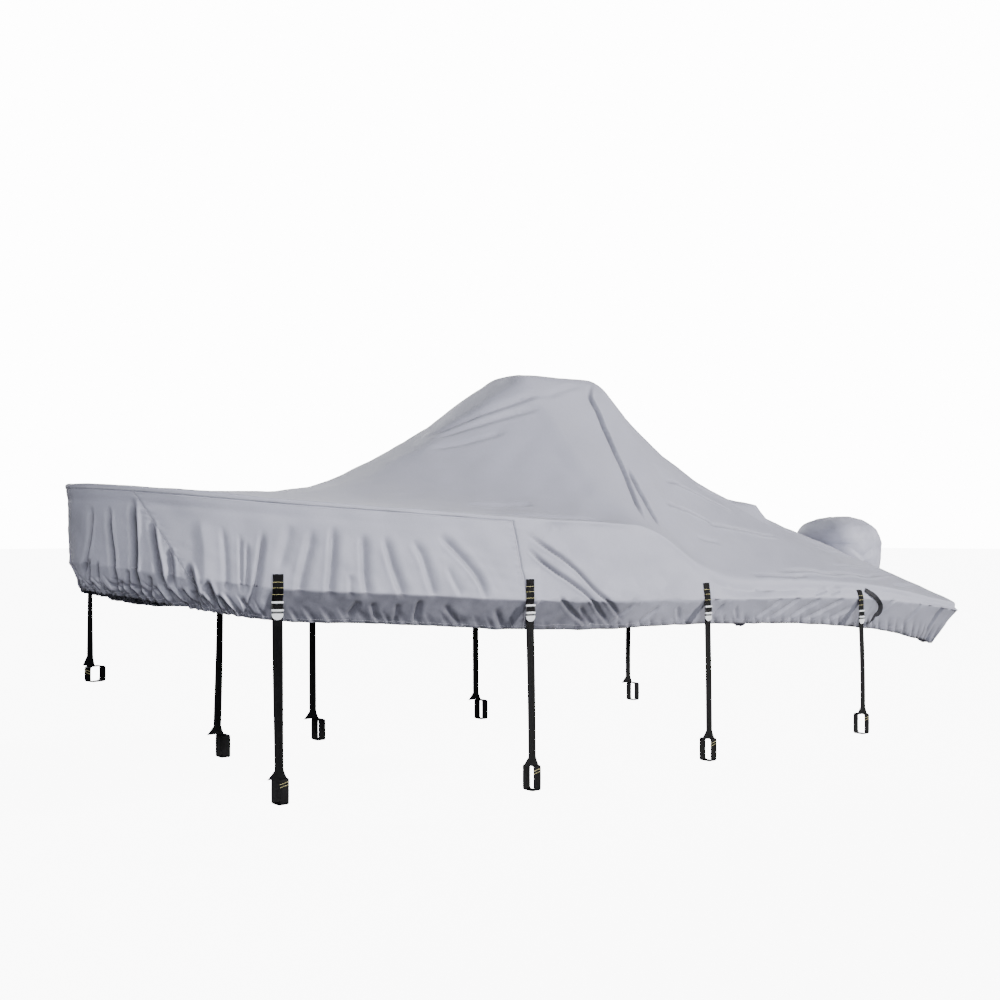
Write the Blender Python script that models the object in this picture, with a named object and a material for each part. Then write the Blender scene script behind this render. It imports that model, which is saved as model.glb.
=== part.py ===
"""Fitted boat cover as it hangs: panels, motor hood, tie-down straps. Metres, +Z up.

+X runs to the stern, +Y to starboard. The origin is under the middle of the flat peak,
where the cover is propped up.
"""
import math

import bmesh
import bpy
import numpy as np
from mathutils import Vector
from mathutils.bvhtree import BVHTree

# ---------------------------------------------------------------- driving dimensions
TIP_X = -2.980            # foremost point of the bow
STERN_X = 2.970           # aft edge of the stern drop
HALF_BEAM = 1.05          # widest half-breadth, at the rub rail
STERN_HALF_BEAM = 1.02
NOSE_LENGTH = 2.6         # the rounded bow, from its tip to full beam
NOSE_POWER = 2.2
NOSE_FULLNESS = 0.55
CORNER_RADIUS = 0.10      # plan radius of the stern corners
NOTCH_X = 2.660           # the stern edge steps forward here, round the motor
NOTCH_HALF = 0.272
NOTCH_RADIUS = 0.05

CLOTH = 0.002             # thickness of the coated cloth
GAP = 0.0003              # between pieces that are sewn together
TINY = 1e-6
SEAM_HALF_GAP = GAP / 2
NORMAL_REACH = 0.02       # the outline's direction is read over this far either way
SEAM_READ = 0.03          # and the cloth's run beside a seam over this far
HEM_TURN = 0.25           # the hem turns the stern corner over this far either way
SHORTEST_DROP = 0.028     # the cloth hangs at least this far below its edge
RAIL_SHARE = 0.72         # share of a hanging side that lies above the rub rail
ROLL_SHARE = 0.4          # the top stops this share of the roll's radius short of the edge

PEAK_CROWN = 0.002        # how far the peak's middle stands above its edges
PEAK_RISE = 0.8           # rise of the top at the peak, where PEAK_CROWN holds in full
SHOULDER_SOFTNESS = 0.030
CROWN_LIMIT = 0.35        # the flat crown is at most this share of the half-breadth
SMALLEST_SPAN = 0.02
SMALLEST_FLAT = 0.01

RAIL_DROP = 0.030         # the fold over the rail lies at least this far below the edge
STERN_RAIL_DROP = 0.045
STERN_RAIL_LIFT = 0.10    # the fold rises this much toward the stern notch
STERN_RISE_START = 0.25   # past the stern corner, where the hem begins to rise
HOOD_LAP = 0.020          # the stern hem ends this far above the hood's
NOTCH_DROP = 0.055        # length of the cloth's drop inside the notch
NOTCH_UNTUCK = 0.10       # the hem's tuck ends over this length before the notch
INSET_POWER = 1.5         # how the side swells out to the rail
TUCK_POWER = 0.95         # and turns in below it
ROLL_ROUNDNESS = 0.55
NEAR_EDGE = 0.985         # the top's direction at its edge is read from here

FOLD_GROWTH = 0.35        # share of the drop over which a fold grows to its depth
FOLD_WIDTH_ABOVE = 0.75   # a fold's width at the edge, as a share of the table's
FOLD_WIDENING = 0.35      # and what it gains down to the hem
TIP_FADE = 0.08           # folds fade out over these lengths at the tip and the stern
STERN_FADE = 0.25
CALM_SHARE = 0.45         # share of STRAP_CLEARING that is quite smooth
TOP_FOLD_FADE = 0.25      # share of its length over which a fold of the top fades out
TOP_FOLD_END = 1.05
LEAN_CALM = 0.06          # the cloth's lean where it leans the least

HOOD_X = 2.9425           # middle of the motor hood
HOOD_HALF_LENGTH = 0.2822
HOOD_HALF_WIDTH = 0.266
HOOD_TOP_Z = -0.857
HOOD_EDGE_Z = -1.053      # where the dome turns into its wall
HOOD_HEM_Z = -1.383
HOOD_FRONT_DROP = 0.075   # how far its front edge reaches down inside the stern notch
HOOD_SQUARENESS = 3.2
HOOD_DRAWN_IN = 0.030     # what the elastic pulls the hood's hem in
HOOD_TOP_SHIFT = 0.040    # the dome's middle lies forward of the wall's
HOOD_SPREAD_POWER = 0.75  # how square the dome's shoulders are
HOOD_DOME_POWER = 0.9
HOOD_SHIFT_POWER = 0.5
HOOD_FRONT_SHARE = 0.80   # the front wall is short, from this share of the half-length
HOOD_FRONT_TURN = 0.16    # and lengthens over this distance
HOOD_GATHER_POWER = 2.5   # how late on its way down the wall is drawn in
HOOD_GATHERS = 7          # waves of the gathered wall
HOOD_GATHER_DEPTH = 0.022
HOOD_GATHER_TURN = 0.7

WEB = 0.050               # width of the strap webbing
WEB_THICKNESS = 0.0022
PATCH_LENGTH = 0.128
PATCH_THICKNESS = 0.003
BAND_CLEAR = 0.0022       # between the cloth's highest place and a patch on it
PATCH_ROWS = (0.0, 0.12, 0.24, 0.36, 0.48, 0.6, 0.7, 0.8, 0.9, 1.0)
RAYS = 21                 # rays across a band that find the cloth under it
RAY_START = 0.3           # rays that find the cloth start this far outside it
RAIL_CLEAR = 0.012        # the patch turns straight down this far above the rail
LOOP_DEPTH = 0.080        # inside depth of an end loop
LOOP_HEIGHT = 0.125       # inside height of a side strap's end loop
LOOP_TOP_Z = -2.098
LOOP_BEND = 0.010         # radius at the corners of an end loop
LOOP_LANDING = 0.0125     # the web stands on the loop's top this far in from its face
LOOP_SHIFT = 0.022        # an end loop lies this far aft of its web
FLARE_LENGTH = 0.048      # the folded triangle above each end loop
FLARE_WIDTH = 0.110
FLARE_SHIFT = -0.012      # the triangle spreads mostly toward the bow
WEB_START = 0.030         # the web's upper end lies this far down behind the buckle
WEB_STRAIGHT = 0.060      # it hangs straight for this length before it turns

BOW_LOOP_TOP_Z = -1.545
BOW_LOOP_HEIGHT = 0.070
BOW_WEB_FROM = 0.84       # share of the drop where the bow web is sewn on, inside
BOW_WEB_CLEAR = 0.0066    # its middle line inside the cloth
BOW_FLARE_WIDTH = 0.100
BOW_FLARE_SHIFT = 0.010
BOW_WEB_FACING = (0.20, -0.98)   # width direction of the hanging bow web

# Heights along the boat: x, the top edge, the fold over the rub rail, the hem.
EDGE_HEIGHTS = (
    # x      edge     rail    hem
    (-2.98, -0.676, -1.100, -1.182),
    (-2.85, -0.688, -1.125, -1.214),
    (-2.60, -0.714, -1.180, -1.269),
    (-2.30, -0.745, -1.237, -1.320),
    (-1.74, -0.788, -1.252, -1.356),
    (-1.02, -0.839, -1.274, -1.410),
    (-0.25, -0.881, -1.292, -1.445),
    (-0.10, -0.915, -1.296, -1.447),
    (0.30, -1.095, -1.310, -1.452),
    (0.62, -1.165, -1.320, -1.468),
    (1.13, -1.205, -1.335, -1.494),
    (1.74, -1.255, -1.363, -1.546),
    (2.17, -1.310, -1.400, -1.599),
    (2.60, -1.385, -1.450, -1.678),
    (2.97, -1.450, -1.500, -1.720),
)
# Shape across: x, height of the crown, its half-width, hollow of the slope (1 is straight),
# radius of the roll over the edge, plan distance of the edge inside the rail.
CROSS_SHAPES = (
    # x      crown   half   hollow  roll   inset
    (-2.98, -0.672, 0.05, 1.60, 0.022, -0.010),
    (-2.38, -0.699, 0.10, 1.60, 0.022, 0.004),
    (-1.95, -0.705, 0.12, 1.65, 0.022, 0.008),
    (-1.67, -0.682, 0.13, 1.70, 0.022, 0.010),
    (-1.47, -0.629, 0.14, 1.70, 0.022, 0.010),
    (-1.28, -0.551, 0.15, 1.65, 0.022, 0.012),
    (-0.86, -0.340, 0.15, 1.50, 0.022, 0.014),
    (-0.41, -0.065, 0.15, 1.30, 0.024, 0.016),
    (-0.27, 0.000, 0.15, 1.20, 0.024, 0.018),
    (0.27, 0.003, 0.15, 1.10, 0.085, 0.022),
    (0.52, -0.190, 0.15, 1.05, 0.110, 0.028),
    (0.96, -0.478, 0.14, 1.03, 0.095, 0.028),
    (1.43, -0.690, 0.14, 1.03, 0.062, 0.020),
    (1.93, -0.853, 0.13, 1.06, 0.048, 0.018),
    (2.40, -0.985, 0.12, 1.08, 0.044, 0.018),
    (2.97, -1.140, 0.10, 1.00, 0.040, 0.020),
)
# How far the hem is tucked in under the rail: x, tuck.
TUCKS = ((-2.98, 0.065), (-2.80, 0.078), (-2.40, 0.085), (-1.00, 0.090), (0.80, 0.088), (2.20, 0.100),
         (2.87, 0.185))
# Each line of the top runs from a foot on the centreline to a place on the edge:
# x on the edge, x of its foot. The lines fan out from the peak's corners.
FEET = ((-2.98, -2.63), (-2.11, -1.95), (-1.20, -0.75), (-0.80, -0.27), (-0.45, 0.02),
        (-0.25, 0.26), (-0.175, 0.34), (-0.08, 0.43), (0.69, 0.84), (2.09, 2.06),
        (2.80, 2.36))
STERN_FOOT = 2.445
STERN_FOOT_POWER = 1.7
KNEE_X = 2.539            # round the notch the lines run out to a slanting row of knees, then aft
KNEE_SLOPE = 0.256        # how far that row runs aft for each metre outward
KNEE_REACH = 0.85         # distance past the stern corner over which they start to bend
KNEE_BULGES = (0.0, 0.368, 0.368, 0.143, 0.072, 0.0)    # how far out of the line's end a knee is

# Seams of the side panels: x where each meets the top edge, and x where it meets the hem.
BOW_SEAM = (-2.835, -2.565)
SIDE_SEAM = (-1.119, -0.995)
LEAN_CALM_X = -2.11       # between the seams the cloth's lines lean the least here
CREASE_X = -0.11          # where the long crease from the peak reaches the edge

# Folds of the hanging sides. Each runs from x on the top edge to x at the hem (on the bow, from
# and to a distance round the outline from the tip), starts this far down the drop, and is so
# wide and so deep. Below zero is a trough, above it a ridge.
SIDE_FOLDS = (
    # top     hem    start  width  depth
    (-2.67, -2.42, 0.25, 0.065, -0.020),
    (-2.56, -2.22, 0.15, 0.055, 0.012),
    (-2.43, -2.12, 0.10, 0.060, -0.018),
    (-2.19, -2.04, 0.05, 0.065, -0.015),
    (-2.07, -1.93, 0.10, 0.055, 0.012),
    (-1.93, -1.83, 0.10, 0.065, -0.016),
    (-1.73, -1.68, 0.20, 0.055, 0.012),
    (-1.59, -1.57, 0.15, 0.065, -0.014),
    (-1.37, -1.41, 0.35, 0.055, -0.010),
    (-0.99, -0.33, 0.15, 0.080, -0.024),
    (-0.85, -0.23, 0.10, 0.070, 0.012),
    (-0.81, -0.15, 0.20, 0.080, -0.022),
    (0.74, 0.59, 0.45, 0.090, -0.012),
    (1.24, 0.84, 0.55, 0.090, -0.014),
    (1.54, 1.14, 0.55, 0.090, -0.014),
    (2.24, 1.84, 0.50, 0.090, -0.014),
    (2.59, 2.24, 0.50, 0.100, -0.012),
)
BOW_FOLDS = (
    # top    hem   start  width  depth
    (0.10, 0.12, 0.10, 0.050, -0.020),
    (0.20, 0.26, 0.25, 0.045, 0.014),
    (0.27, 0.40, 0.15, 0.050, -0.026),
    (0.35, 0.53, 0.20, 0.050, 0.014),
    (0.41, 0.64, 0.03, 0.050, -0.028),
    (0.47, 0.76, 0.25, 0.050, -0.016),
)
# Folds of the top, in plan: ends x, y (port side), width, depth.
TOP_FOLDS = (
    # x0     y0     x1     y1    width  depth
    (0.26, -0.17, -0.16, -1.00, 0.030, -0.024),
    (0.32, -0.20, -0.09, -1.00, 0.030, 0.014),
    (0.64, -0.36, 1.24, -0.33, 0.050, -0.008),
    (1.09, -0.93, 2.29, -0.72, 0.070, -0.016),
    (-0.60, -0.35, -1.70, -0.60, 0.060, -0.006),
    (2.50, -0.40, 3.05, -0.43, 0.090, 0.030),
)
# The small propped-up point on the port side of the after slope.
TENT_APEX = (1.70, -0.24)
TENT_HEIGHT = 0.070
TENT_FORE = 0.24          # its long slope forward
TENT_AFT = 0.12
TENT_OUT = 0.12           # its steep side, down to port
TENT_IN = 0.20
TENT_POWER = 1.1

# Tie-down straps: side (-1 port, +1 starboard), x at the rail, z of the patch's top,
# then x and half-breadth where the end loop hangs.
STRAPS = (
    # name           side  x_rail   top_z    x_loop  y_loop
    ("port_1", -1, -2.300, -1.097, -2.170, 0.500),
    ("port_2", -1, -1.020, -1.150, -1.012, 1.030),
    ("port_3", -1, 0.297, -1.214, 0.305, 1.050),
    ("port_4", -1, 1.765, -1.309, 1.768, 1.045),
    ("starboard_1", 1, -1.740, -1.125, -1.755, 0.880),
    ("starboard_2", 1, -1.020, -1.150, -1.012, 1.030),
    ("starboard_3", 1, 0.297, -1.214, 0.305, 1.050),
    ("starboard_4", 1, 1.765, -1.309, 1.768, 1.045),
)
STRAP_CLEARING = 0.085    # the cloth lies smooth this far either side of a strap
CREASE_FORE = 0.04        # closer lines of the mesh round the long crease
CREASE_AFT = 0.08
CORNER_LENGTH = 0.20      # and over this length past the stern corner
BUCKLE_ROWS = (
    # down    width  thickness: two bars and a rounded tab on a thin plate
    (0.000, 0.058, 0.009),
    (0.010, 0.058, 0.009),
    (0.011, 0.054, 0.004),
    (0.036, 0.054, 0.004),
    (0.037, 0.058, 0.009),
    (0.048, 0.058, 0.009),
    (0.049, 0.052, 0.004),
    (0.057, 0.052, 0.004),
    (0.058, 0.056, 0.007),
    (0.070, 0.052, 0.007),
    (0.079, 0.041, 0.007),
    (0.085, 0.026, 0.006),
    (0.088, 0.010, 0.005),
)

# The loose tape beside the last port strap: x, z, how far it stands off the rub rail's line,
# and the turn of its width out of the boat's side.
TAPE_ROWS = (
    # x      z       stand-off  turn
    (1.822, -1.306, None, 0),
    (1.848, -1.335, 0.016, 30),
    (1.898, -1.372, 0.030, 50),
    (1.935, -1.408, 0.038, 60),
    (1.948, -1.440, 0.038, 60),
    (1.930, -1.470, 0.026, 55),
    (1.890, -1.495, 0.005, 65),
    (1.862, -1.512, -0.030, 45),
    (1.845, -1.530, None, 0),
)
TAPE_WIDTH = 0.030
TAPE_CLEAR = 0.0008
TAPE_THICKNESS = 0.0015

GREY = (0.34, 0.34, 0.37)
BLACK = (0.012, 0.012, 0.013)
DARK_GREY = (0.06, 0.06, 0.065)
LIGHT_GREY = (0.60, 0.60, 0.60)
CLOTH_ROUGHNESS = 0.75
WEB_ROUGHNESS = 0.70
BUCKLE_ROUGHNESS = 0.45
TAPE_ROUGHNESS = 0.80


# ---------------------------------------------------------------- curves from the tables
def column(table, index):
    return [row[index] for row in table]


def smooth_table(table, index, x):
    """Read one column of a table at x, on a smooth curve that never overshoots its rows."""
    xs = column(table, 0)
    ys = column(table, index)
    if x <= xs[0]:
        return ys[0]
    if x >= xs[-1]:
        return ys[-1]
    steps = [(ys[i + 1] - ys[i]) / (xs[i + 1] - xs[i]) for i in range(len(xs) - 1)]
    slopes = [steps[0]]
    for before, after in zip(steps, steps[1:]):
        slopes.append(0.0 if before * after <= 0 else 2 * before * after / (before + after))
    slopes.append(steps[-1])
    i = next(k for k in range(len(steps)) if x <= xs[k + 1])
    span = xs[i + 1] - xs[i]
    t = (x - xs[i]) / span
    return ((2 * t ** 3 - 3 * t ** 2 + 1) * ys[i] + (t ** 3 - 2 * t ** 2 + t) * span * slopes[i]
            + (3 * t ** 2 - 2 * t ** 3) * ys[i + 1] + (t ** 3 - t ** 2) * span * slopes[i + 1])


def smooth_step(t):
    t = min(max(t, 0.0), 1.0)
    return t * t * (3 - 2 * t)


def half_beam(x):
    """Half-breadth of the plan outline at x."""
    if x <= TIP_X:
        return 0.0
    reach = 1 - (x - TIP_X) / NOSE_LENGTH
    if reach > 0:
        return HALF_BEAM * (1 - reach ** NOSE_POWER) ** NOSE_FULLNESS
    along = min((x - TIP_X - NOSE_LENGTH) / (STERN_X - TIP_X - NOSE_LENGTH), 1.0)
    return HALF_BEAM + (STERN_HALF_BEAM - HALF_BEAM) * along


def fillet(before, corner, after, radius, steps=8):
    """Points of an arc that rounds a corner of the outline."""
    to_before = (before - corner).normalized()
    to_after = (after - corner).normalized()
    half = to_before.angle(to_after) / 2
    reach = radius / math.tan(half)
    centre = corner + (to_before + to_after).normalized() * radius / math.sin(half)
    start = corner + to_before * reach - centre
    end = corner + to_after * reach - centre
    turn = start.angle_signed(end)
    arc = []
    for step in range(steps + 1):
        angle = -turn * step / steps
        arc.append(centre + Vector((start.x * math.cos(angle) - start.y * math.sin(angle),
                                    start.x * math.sin(angle) + start.y * math.cos(angle))))
    return arc


def port_outline():
    """The port half of the plan outline, from the bow tip round to the middle of the stern."""
    points = []
    for step in range(81):
        angle = math.radians(90) * step / 80
        points.append(Vector((
            TIP_X + NOSE_LENGTH * (1 - math.cos(angle) ** (2 / NOSE_POWER)),
            -HALF_BEAM * math.sin(angle) ** (2 * NOSE_FULLNESS))))
    corners = [points[-1], Vector((STERN_X, -STERN_HALF_BEAM)), Vector((STERN_X, -NOTCH_HALF)),
               Vector((NOTCH_X, -NOTCH_HALF)), Vector((NOTCH_X, 0.0))]
    radii = (None, CORNER_RADIUS, NOTCH_RADIUS, NOTCH_RADIUS, None)
    for i in range(1, len(corners) - 1):
        points += fillet(corners[i - 1], corners[i], corners[i + 1], radii[i])
    points.append(corners[-1])
    return points


OUTLINE = port_outline()
OUTLINE_S = np.concatenate(([0.0], np.cumsum(
    [(b - a).length for a, b in zip(OUTLINE, OUTLINE[1:])])))
OUTLINE_X = np.array([p.x for p in OUTLINE])
OUTLINE_Y = np.array([p.y for p in OUTLINE])
TOTAL_S = float(OUTLINE_S[-1])
SIDE_END = int(np.argmax(OUTLINE_X > STERN_X - CORNER_RADIUS - 0.005))


def place_of(x):
    """Distance round the outline from the tip to the side's point at x."""
    return float(np.interp(x, OUTLINE_X[:SIDE_END + 1], OUTLINE_S[:SIDE_END + 1]))


def outline_point(s):
    return Vector((float(np.interp(s, OUTLINE_S, OUTLINE_X)),
                   float(np.interp(s, OUTLINE_S, OUTLINE_Y))))


def outline_normal(s, reach=NORMAL_REACH):
    """Outward direction in plan, square to the outline."""
    ahead = outline_point(min(s + reach, 2 * TOTAL_S - s - reach))
    if s + reach > TOTAL_S:
        ahead.y = -ahead.y
    behind = outline_point(abs(s - reach))
    if s < reach:
        behind.y = -behind.y
    along = (ahead - behind).normalized()
    return Vector((along.y, -along.x))


S_CORNER = place_of(STERN_X - CORNER_RADIUS - 0.02)
NOTCH_BEND = math.radians(90) * NOTCH_RADIUS
S_NOTCH = TOTAL_S - (NOTCH_HALF - NOTCH_RADIUS)
S_NOTCH_SIDE = S_NOTCH - NOTCH_BEND
S_NOTCH_MOUTH = S_NOTCH_SIDE - (STERN_X - NOTCH_X - 2 * NOTCH_RADIUS)
S_TRANSOM_END = S_NOTCH_MOUTH - NOTCH_BEND
S_BOW_SEAM = place_of(BOW_SEAM[0])
S_BOW_SEAM_HEM = place_of(BOW_SEAM[1])
S_SIDE_SEAM = place_of(SIDE_SEAM[0])
S_SIDE_SEAM_HEM = place_of(SIDE_SEAM[1])
S_CREASE = place_of(CREASE_X)


def lean(s, down):
    """The seams lean aft on their way down, and the cloth's lines with them."""
    marks = (0.0, S_BOW_SEAM, place_of(LEAN_CALM_X), S_SIDE_SEAM, S_CREASE, TOTAL_S)
    leans = (0.0, S_BOW_SEAM_HEM - S_BOW_SEAM, LEAN_CALM, S_SIDE_SEAM_HEM - S_SIDE_SEAM, 0.0, 0.0)
    return s + float(np.interp(s, marks, leans)) * down


# ---------------------------------------------------------------- the draped surface
def trough(distance, width):
    """Soft cross-section of a fold, 1 at its middle line."""
    return math.exp(-(distance / width) ** 2)


def tent_lift(x, y):
    dx = x - TENT_APEX[0]
    dy = y - TENT_APEX[1]
    along = dx / TENT_AFT if dx > 0 else -dx / TENT_FORE
    across = dy / TENT_IN if dy > 0 else -dy / TENT_OUT
    return TENT_HEIGHT * max(0.0, 1 - math.hypot(along, across)) ** TENT_POWER


def top_fold_lift(x, y):
    lift = 0.0
    for x0, y0, x1, y1, width, depth in TOP_FOLDS:
        line = Vector((x1 - x0, y1 - y0))
        along = ((x - x0) * line.x + (y - y0) * line.y) / line.length_squared
        across = abs((x - x0) * line.y - (y - y0) * line.x) / line.length
        fade = smooth_step(along / TOP_FOLD_FADE)
        fade *= smooth_step((TOP_FOLD_END - along) / TOP_FOLD_FADE)
        lift += depth * fade * trough(across, width)
    return lift


def top_height(x, y):
    """Height of the taut top over a point of the plan."""
    edge = smooth_table(EDGE_HEIGHTS, 1, x)
    crown = smooth_table(CROSS_SHAPES, 1, x)
    hollow = smooth_table(CROSS_SHAPES, 3, x)
    span = max(half_beam(min(x, STERN_X)) - inset_at(x), SMALLEST_SPAN)
    flat = min(smooth_table(CROSS_SHAPES, 2, x), CROWN_LIMIT * span)
    beyond = (abs(y) - flat) / SHOULDER_SOFTNESS
    past = SHOULDER_SOFTNESS * (math.log1p(math.exp(-abs(beyond))) + max(beyond, 0.0))
    share = min(past / (span - flat), 1.0)
    crowned = PEAK_CROWN * (1 - min(abs(y) / max(flat, SMALLEST_FLAT), 1.0) ** 2)
    height = edge + (crown - edge) * ((1 - share) ** hollow + crowned / PEAK_RISE)
    return height + tent_lift(x, y) + top_fold_lift(x, -abs(y))


def foot_x(s):
    """Where the top's line from the edge at s meets the centreline."""
    if s <= S_CORNER:
        return smooth_table(FEET, 1, outline_point(s).x)
    share = (s - S_CORNER) / (TOTAL_S - S_CORNER)
    return FEET[-1][1] + (STERN_FOOT - FEET[-1][1]) * share ** STERN_FOOT_POWER


def inset_at(x):
    """Plan distance from the outline in to where the top begins to roll over the edge."""
    return smooth_table(CROSS_SHAPES, 5, x) + ROLL_SHARE * smooth_table(CROSS_SHAPES, 4, x)


def knee_share(s):
    """How far the top's lines bend round the notch: 0 on the sides, 1 beside the notch."""
    entering = smooth_step((s - S_CORNER) / KNEE_REACH)
    return entering * smooth_step((TOTAL_S - s) / (TOTAL_S - S_NOTCH))


def top_point(s, share):
    """A point of the top: share 0 at the centreline, 1 where the edge begins."""
    edge = outline_point(s)
    outer = edge - outline_normal(s) * inset_at(edge.x)
    foot = Vector((foot_x(s), 0.0))
    marks = (S_CORNER, S_TRANSOM_END, S_NOTCH_MOUTH, S_NOTCH_SIDE, S_NOTCH, TOTAL_S)
    out = abs(outer.y) + float(np.interp(s, marks, KNEE_BULGES))
    knee = Vector((min(outer.x, KNEE_X + KNEE_SLOPE * out), -out))
    bend = ((foot + outer) / 2).lerp(knee, knee_share(s))
    plan = foot * (1 - share) ** 2 + bend * 2 * share * (1 - share) + outer * share ** 2
    return Vector((plan.x, plan.y, top_height(plan.x, plan.y)))


def edge_height(s):
    return top_point(s, 1.0).z


def rail_height(s):
    point = outline_point(s)
    rail = smooth_table(EDGE_HEIGHTS, 2, point.x)
    if s > S_CORNER:
        rail = min(rail, edge_height(s) - STERN_RAIL_DROP)
        rail += STERN_RAIL_LIFT * stern_rise(s)
    return min(rail, edge_height(s) - RAIL_DROP)


def stern_rise(s):
    """0 at the stern corner, 1 at the notch that the motor hood is sewn into."""
    start = S_CORNER + STERN_RISE_START
    return smooth_step((s - start) / (S_TRANSOM_END - start))


def hem_height(s):
    point = outline_point(s)
    hem = smooth_table(EDGE_HEIGHTS, 3, point.x)
    if s <= S_CORNER:
        return hem
    low = EDGE_HEIGHTS[-1][3]
    hem = low + (HOOD_HEM_Z + HOOD_LAP - low) * stern_rise(s)
    into_notch = smooth_step((s - S_TRANSOM_END) / (S_NOTCH - S_TRANSOM_END))
    return hem + (edge_height(s) - NOTCH_DROP - hem) * into_notch


def tuck(s):
    point = outline_point(s)
    if s <= S_CORNER:
        return smooth_table(TUCKS, 1, point.x)
    stern = TUCKS[-1][1]
    into_notch = smooth_step((s - S_TRANSOM_END + NOTCH_UNTUCK) / NOTCH_UNTUCK)
    return stern * (1 - into_notch)


def tuck_direction(s):
    """Outward direction of the hem: it turns the stern corner on a rounder line than the rail."""
    corner_end = S_CORNER + math.radians(90) * CORNER_RADIUS
    rounder = smooth_step((s - S_CORNER + HEM_TURN) / HEM_TURN)
    rounder *= smooth_step((corner_end + HEM_TURN - s) / HEM_TURN)
    return outline_normal(s).lerp(outline_normal(s, HEM_TURN), rounder).normalized()


def strap_calm(s, side):
    """1 in open cloth, 0 under a strap, where the cloth lies smooth."""
    calm = 1.0
    for name, strap_side, x_rail, *rest in STRAPS:
        if strap_side == side:
            off = abs(s - place_of(x_rail)) / STRAP_CLEARING
            calm = min(calm, smooth_step(off - CALM_SHARE))
    return calm


def fold_depth(s, down, side):
    """How far the folds push the hanging cloth out, at a place and share of the drop."""
    total = 0.0
    gathers = [(top, hem, start, width, depth) for top, hem, start, width, depth in BOW_FOLDS]
    for x_top, x_hem, start, width, depth in SIDE_FOLDS:
        gathers.append((place_of(x_top), place_of(x_hem), start, width, depth))
    for top, hem, start, width, depth in gathers:
        middle = top + (hem - top) * down
        grown = smooth_step((down - start) / FOLD_GROWTH)
        spread = width * (FOLD_WIDTH_ABOVE + FOLD_WIDENING * down)
        total += depth * grown * trough(s - middle, spread)
    fade_tip = smooth_step(s / TIP_FADE)
    fade_stern = smooth_step((S_TRANSOM_END - s) / STERN_FADE)
    return total * fade_tip * fade_stern * strap_calm(s, side)


ROLL_ROWS = (0.35, 0.70)  # shares of the roll over the edge that get a line of their own


def drop_point(s_top, down, side, folded=True):
    """A point of the hanging side: down 0 under the rolled edge, 1 at the hem."""
    s = lean(s_top, down)
    point = outline_point(s)
    out = outline_normal(s)
    roll = smooth_table(CROSS_SHAPES, 4, point.x)
    inset = smooth_table(CROSS_SHAPES, 5, point.x)
    start_z = edge_height(s) - roll
    hem_z = min(hem_height(s), start_z - SHORTEST_DROP)
    rail_z = min(rail_height(s), start_z - RAIL_SHARE * SHORTEST_DROP)
    rail_z = max(rail_z, start_z + (hem_z - start_z) * RAIL_SHARE)
    if down < RAIL_SHARE:
        share = down / RAIL_SHARE
        plan = point - out * inset * (1 - share) ** INSET_POWER
        z = start_z + (rail_z - start_z) * share
    else:
        share = (down - RAIL_SHARE) / (1 - RAIL_SHARE)
        plan = point - tuck_direction(s) * tuck(s) * share ** TUCK_POWER
        z = rail_z + (hem_z - rail_z) * share
    if folded:
        plan += out * fold_depth(s, down, side)
    return Vector((plan.x, plan.y, z))


def roll_point(s, share):
    """Points of the edge between the top (share 0) and the hanging side (share 1)."""
    start = top_point(s, 1.0)
    near = top_point(s, NEAR_EDGE)
    end = drop_point(s, 0.0, -1, folded=False)
    reach = (end - start).length * ROLL_ROUNDNESS
    leave = (start - near).normalized() * reach
    arrive = Vector((0.0, 0.0, reach))
    inverse = 1 - share
    return (start * inverse ** 3 + (start + leave) * 3 * inverse ** 2 * share
            + (end + arrive) * 3 * inverse * share ** 2 + end * share ** 3)


def seam_thickness(s, down):
    """The cloth's thickness at a seam, as an outward vector that both its pieces share."""
    return outline_normal(lean(s, down)).to_3d() * CLOTH


# ---------------------------------------------------------------- lines of the mesh
TOP_ROWS = (0.0, 0.12, 0.25, 0.33, 0.46, 0.61, 0.77, 0.90, 1.0)
DROP_ROWS = (0.0, 0.16, 0.34, 0.53, 0.70, 0.78, 0.89, 1.0)
SIDE_FINE = 3             # side and bow panels have this many lines for each one of the top
BOW_FINE = 4


def spaced(start, end, count):
    return [start + (end - start) * i / count for i in range(count)]


def top_lines():
    """Places round the port outline where the top has a line, from tip to stern middle."""
    lines = spaced(0.0, S_BOW_SEAM, 4)
    lines += spaced(S_BOW_SEAM, S_SIDE_SEAM, 13)
    lines += spaced(S_SIDE_SEAM, S_CREASE - CREASE_FORE, 7)
    lines += spaced(S_CREASE - CREASE_FORE, S_CREASE + CREASE_AFT, 3)
    lines += spaced(S_CREASE + CREASE_AFT, S_CORNER, 20)
    lines += spaced(S_CORNER, S_CORNER + CORNER_LENGTH, 5)
    lines += spaced(S_CORNER + CORNER_LENGTH, S_TRANSOM_END, 5)
    lines += spaced(S_TRANSOM_END, S_NOTCH_MOUTH, 2)
    lines += spaced(S_NOTCH_MOUTH, S_NOTCH_SIDE, 2)
    lines += spaced(S_NOTCH_SIDE, S_NOTCH, 2)
    lines += spaced(S_NOTCH, TOTAL_S, 2)
    return lines + [TOTAL_S]


LINES = top_lines()


# ---------------------------------------------------------------- building solids
def material(name, colour, roughness):
    made = bpy.data.materials.get(name)
    if made is None:
        made = bpy.data.materials.new(name)
        made.use_nodes = True
        shader = made.node_tree.nodes["Principled BSDF"]
        shader.inputs["Base Color"].default_value = (*colour, 1.0)
        shader.inputs["Roughness"].default_value = roughness
        shader.inputs["Metallic"].default_value = 0.0
        made.diffuse_color = (*colour, 1.0)
    return made


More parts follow.
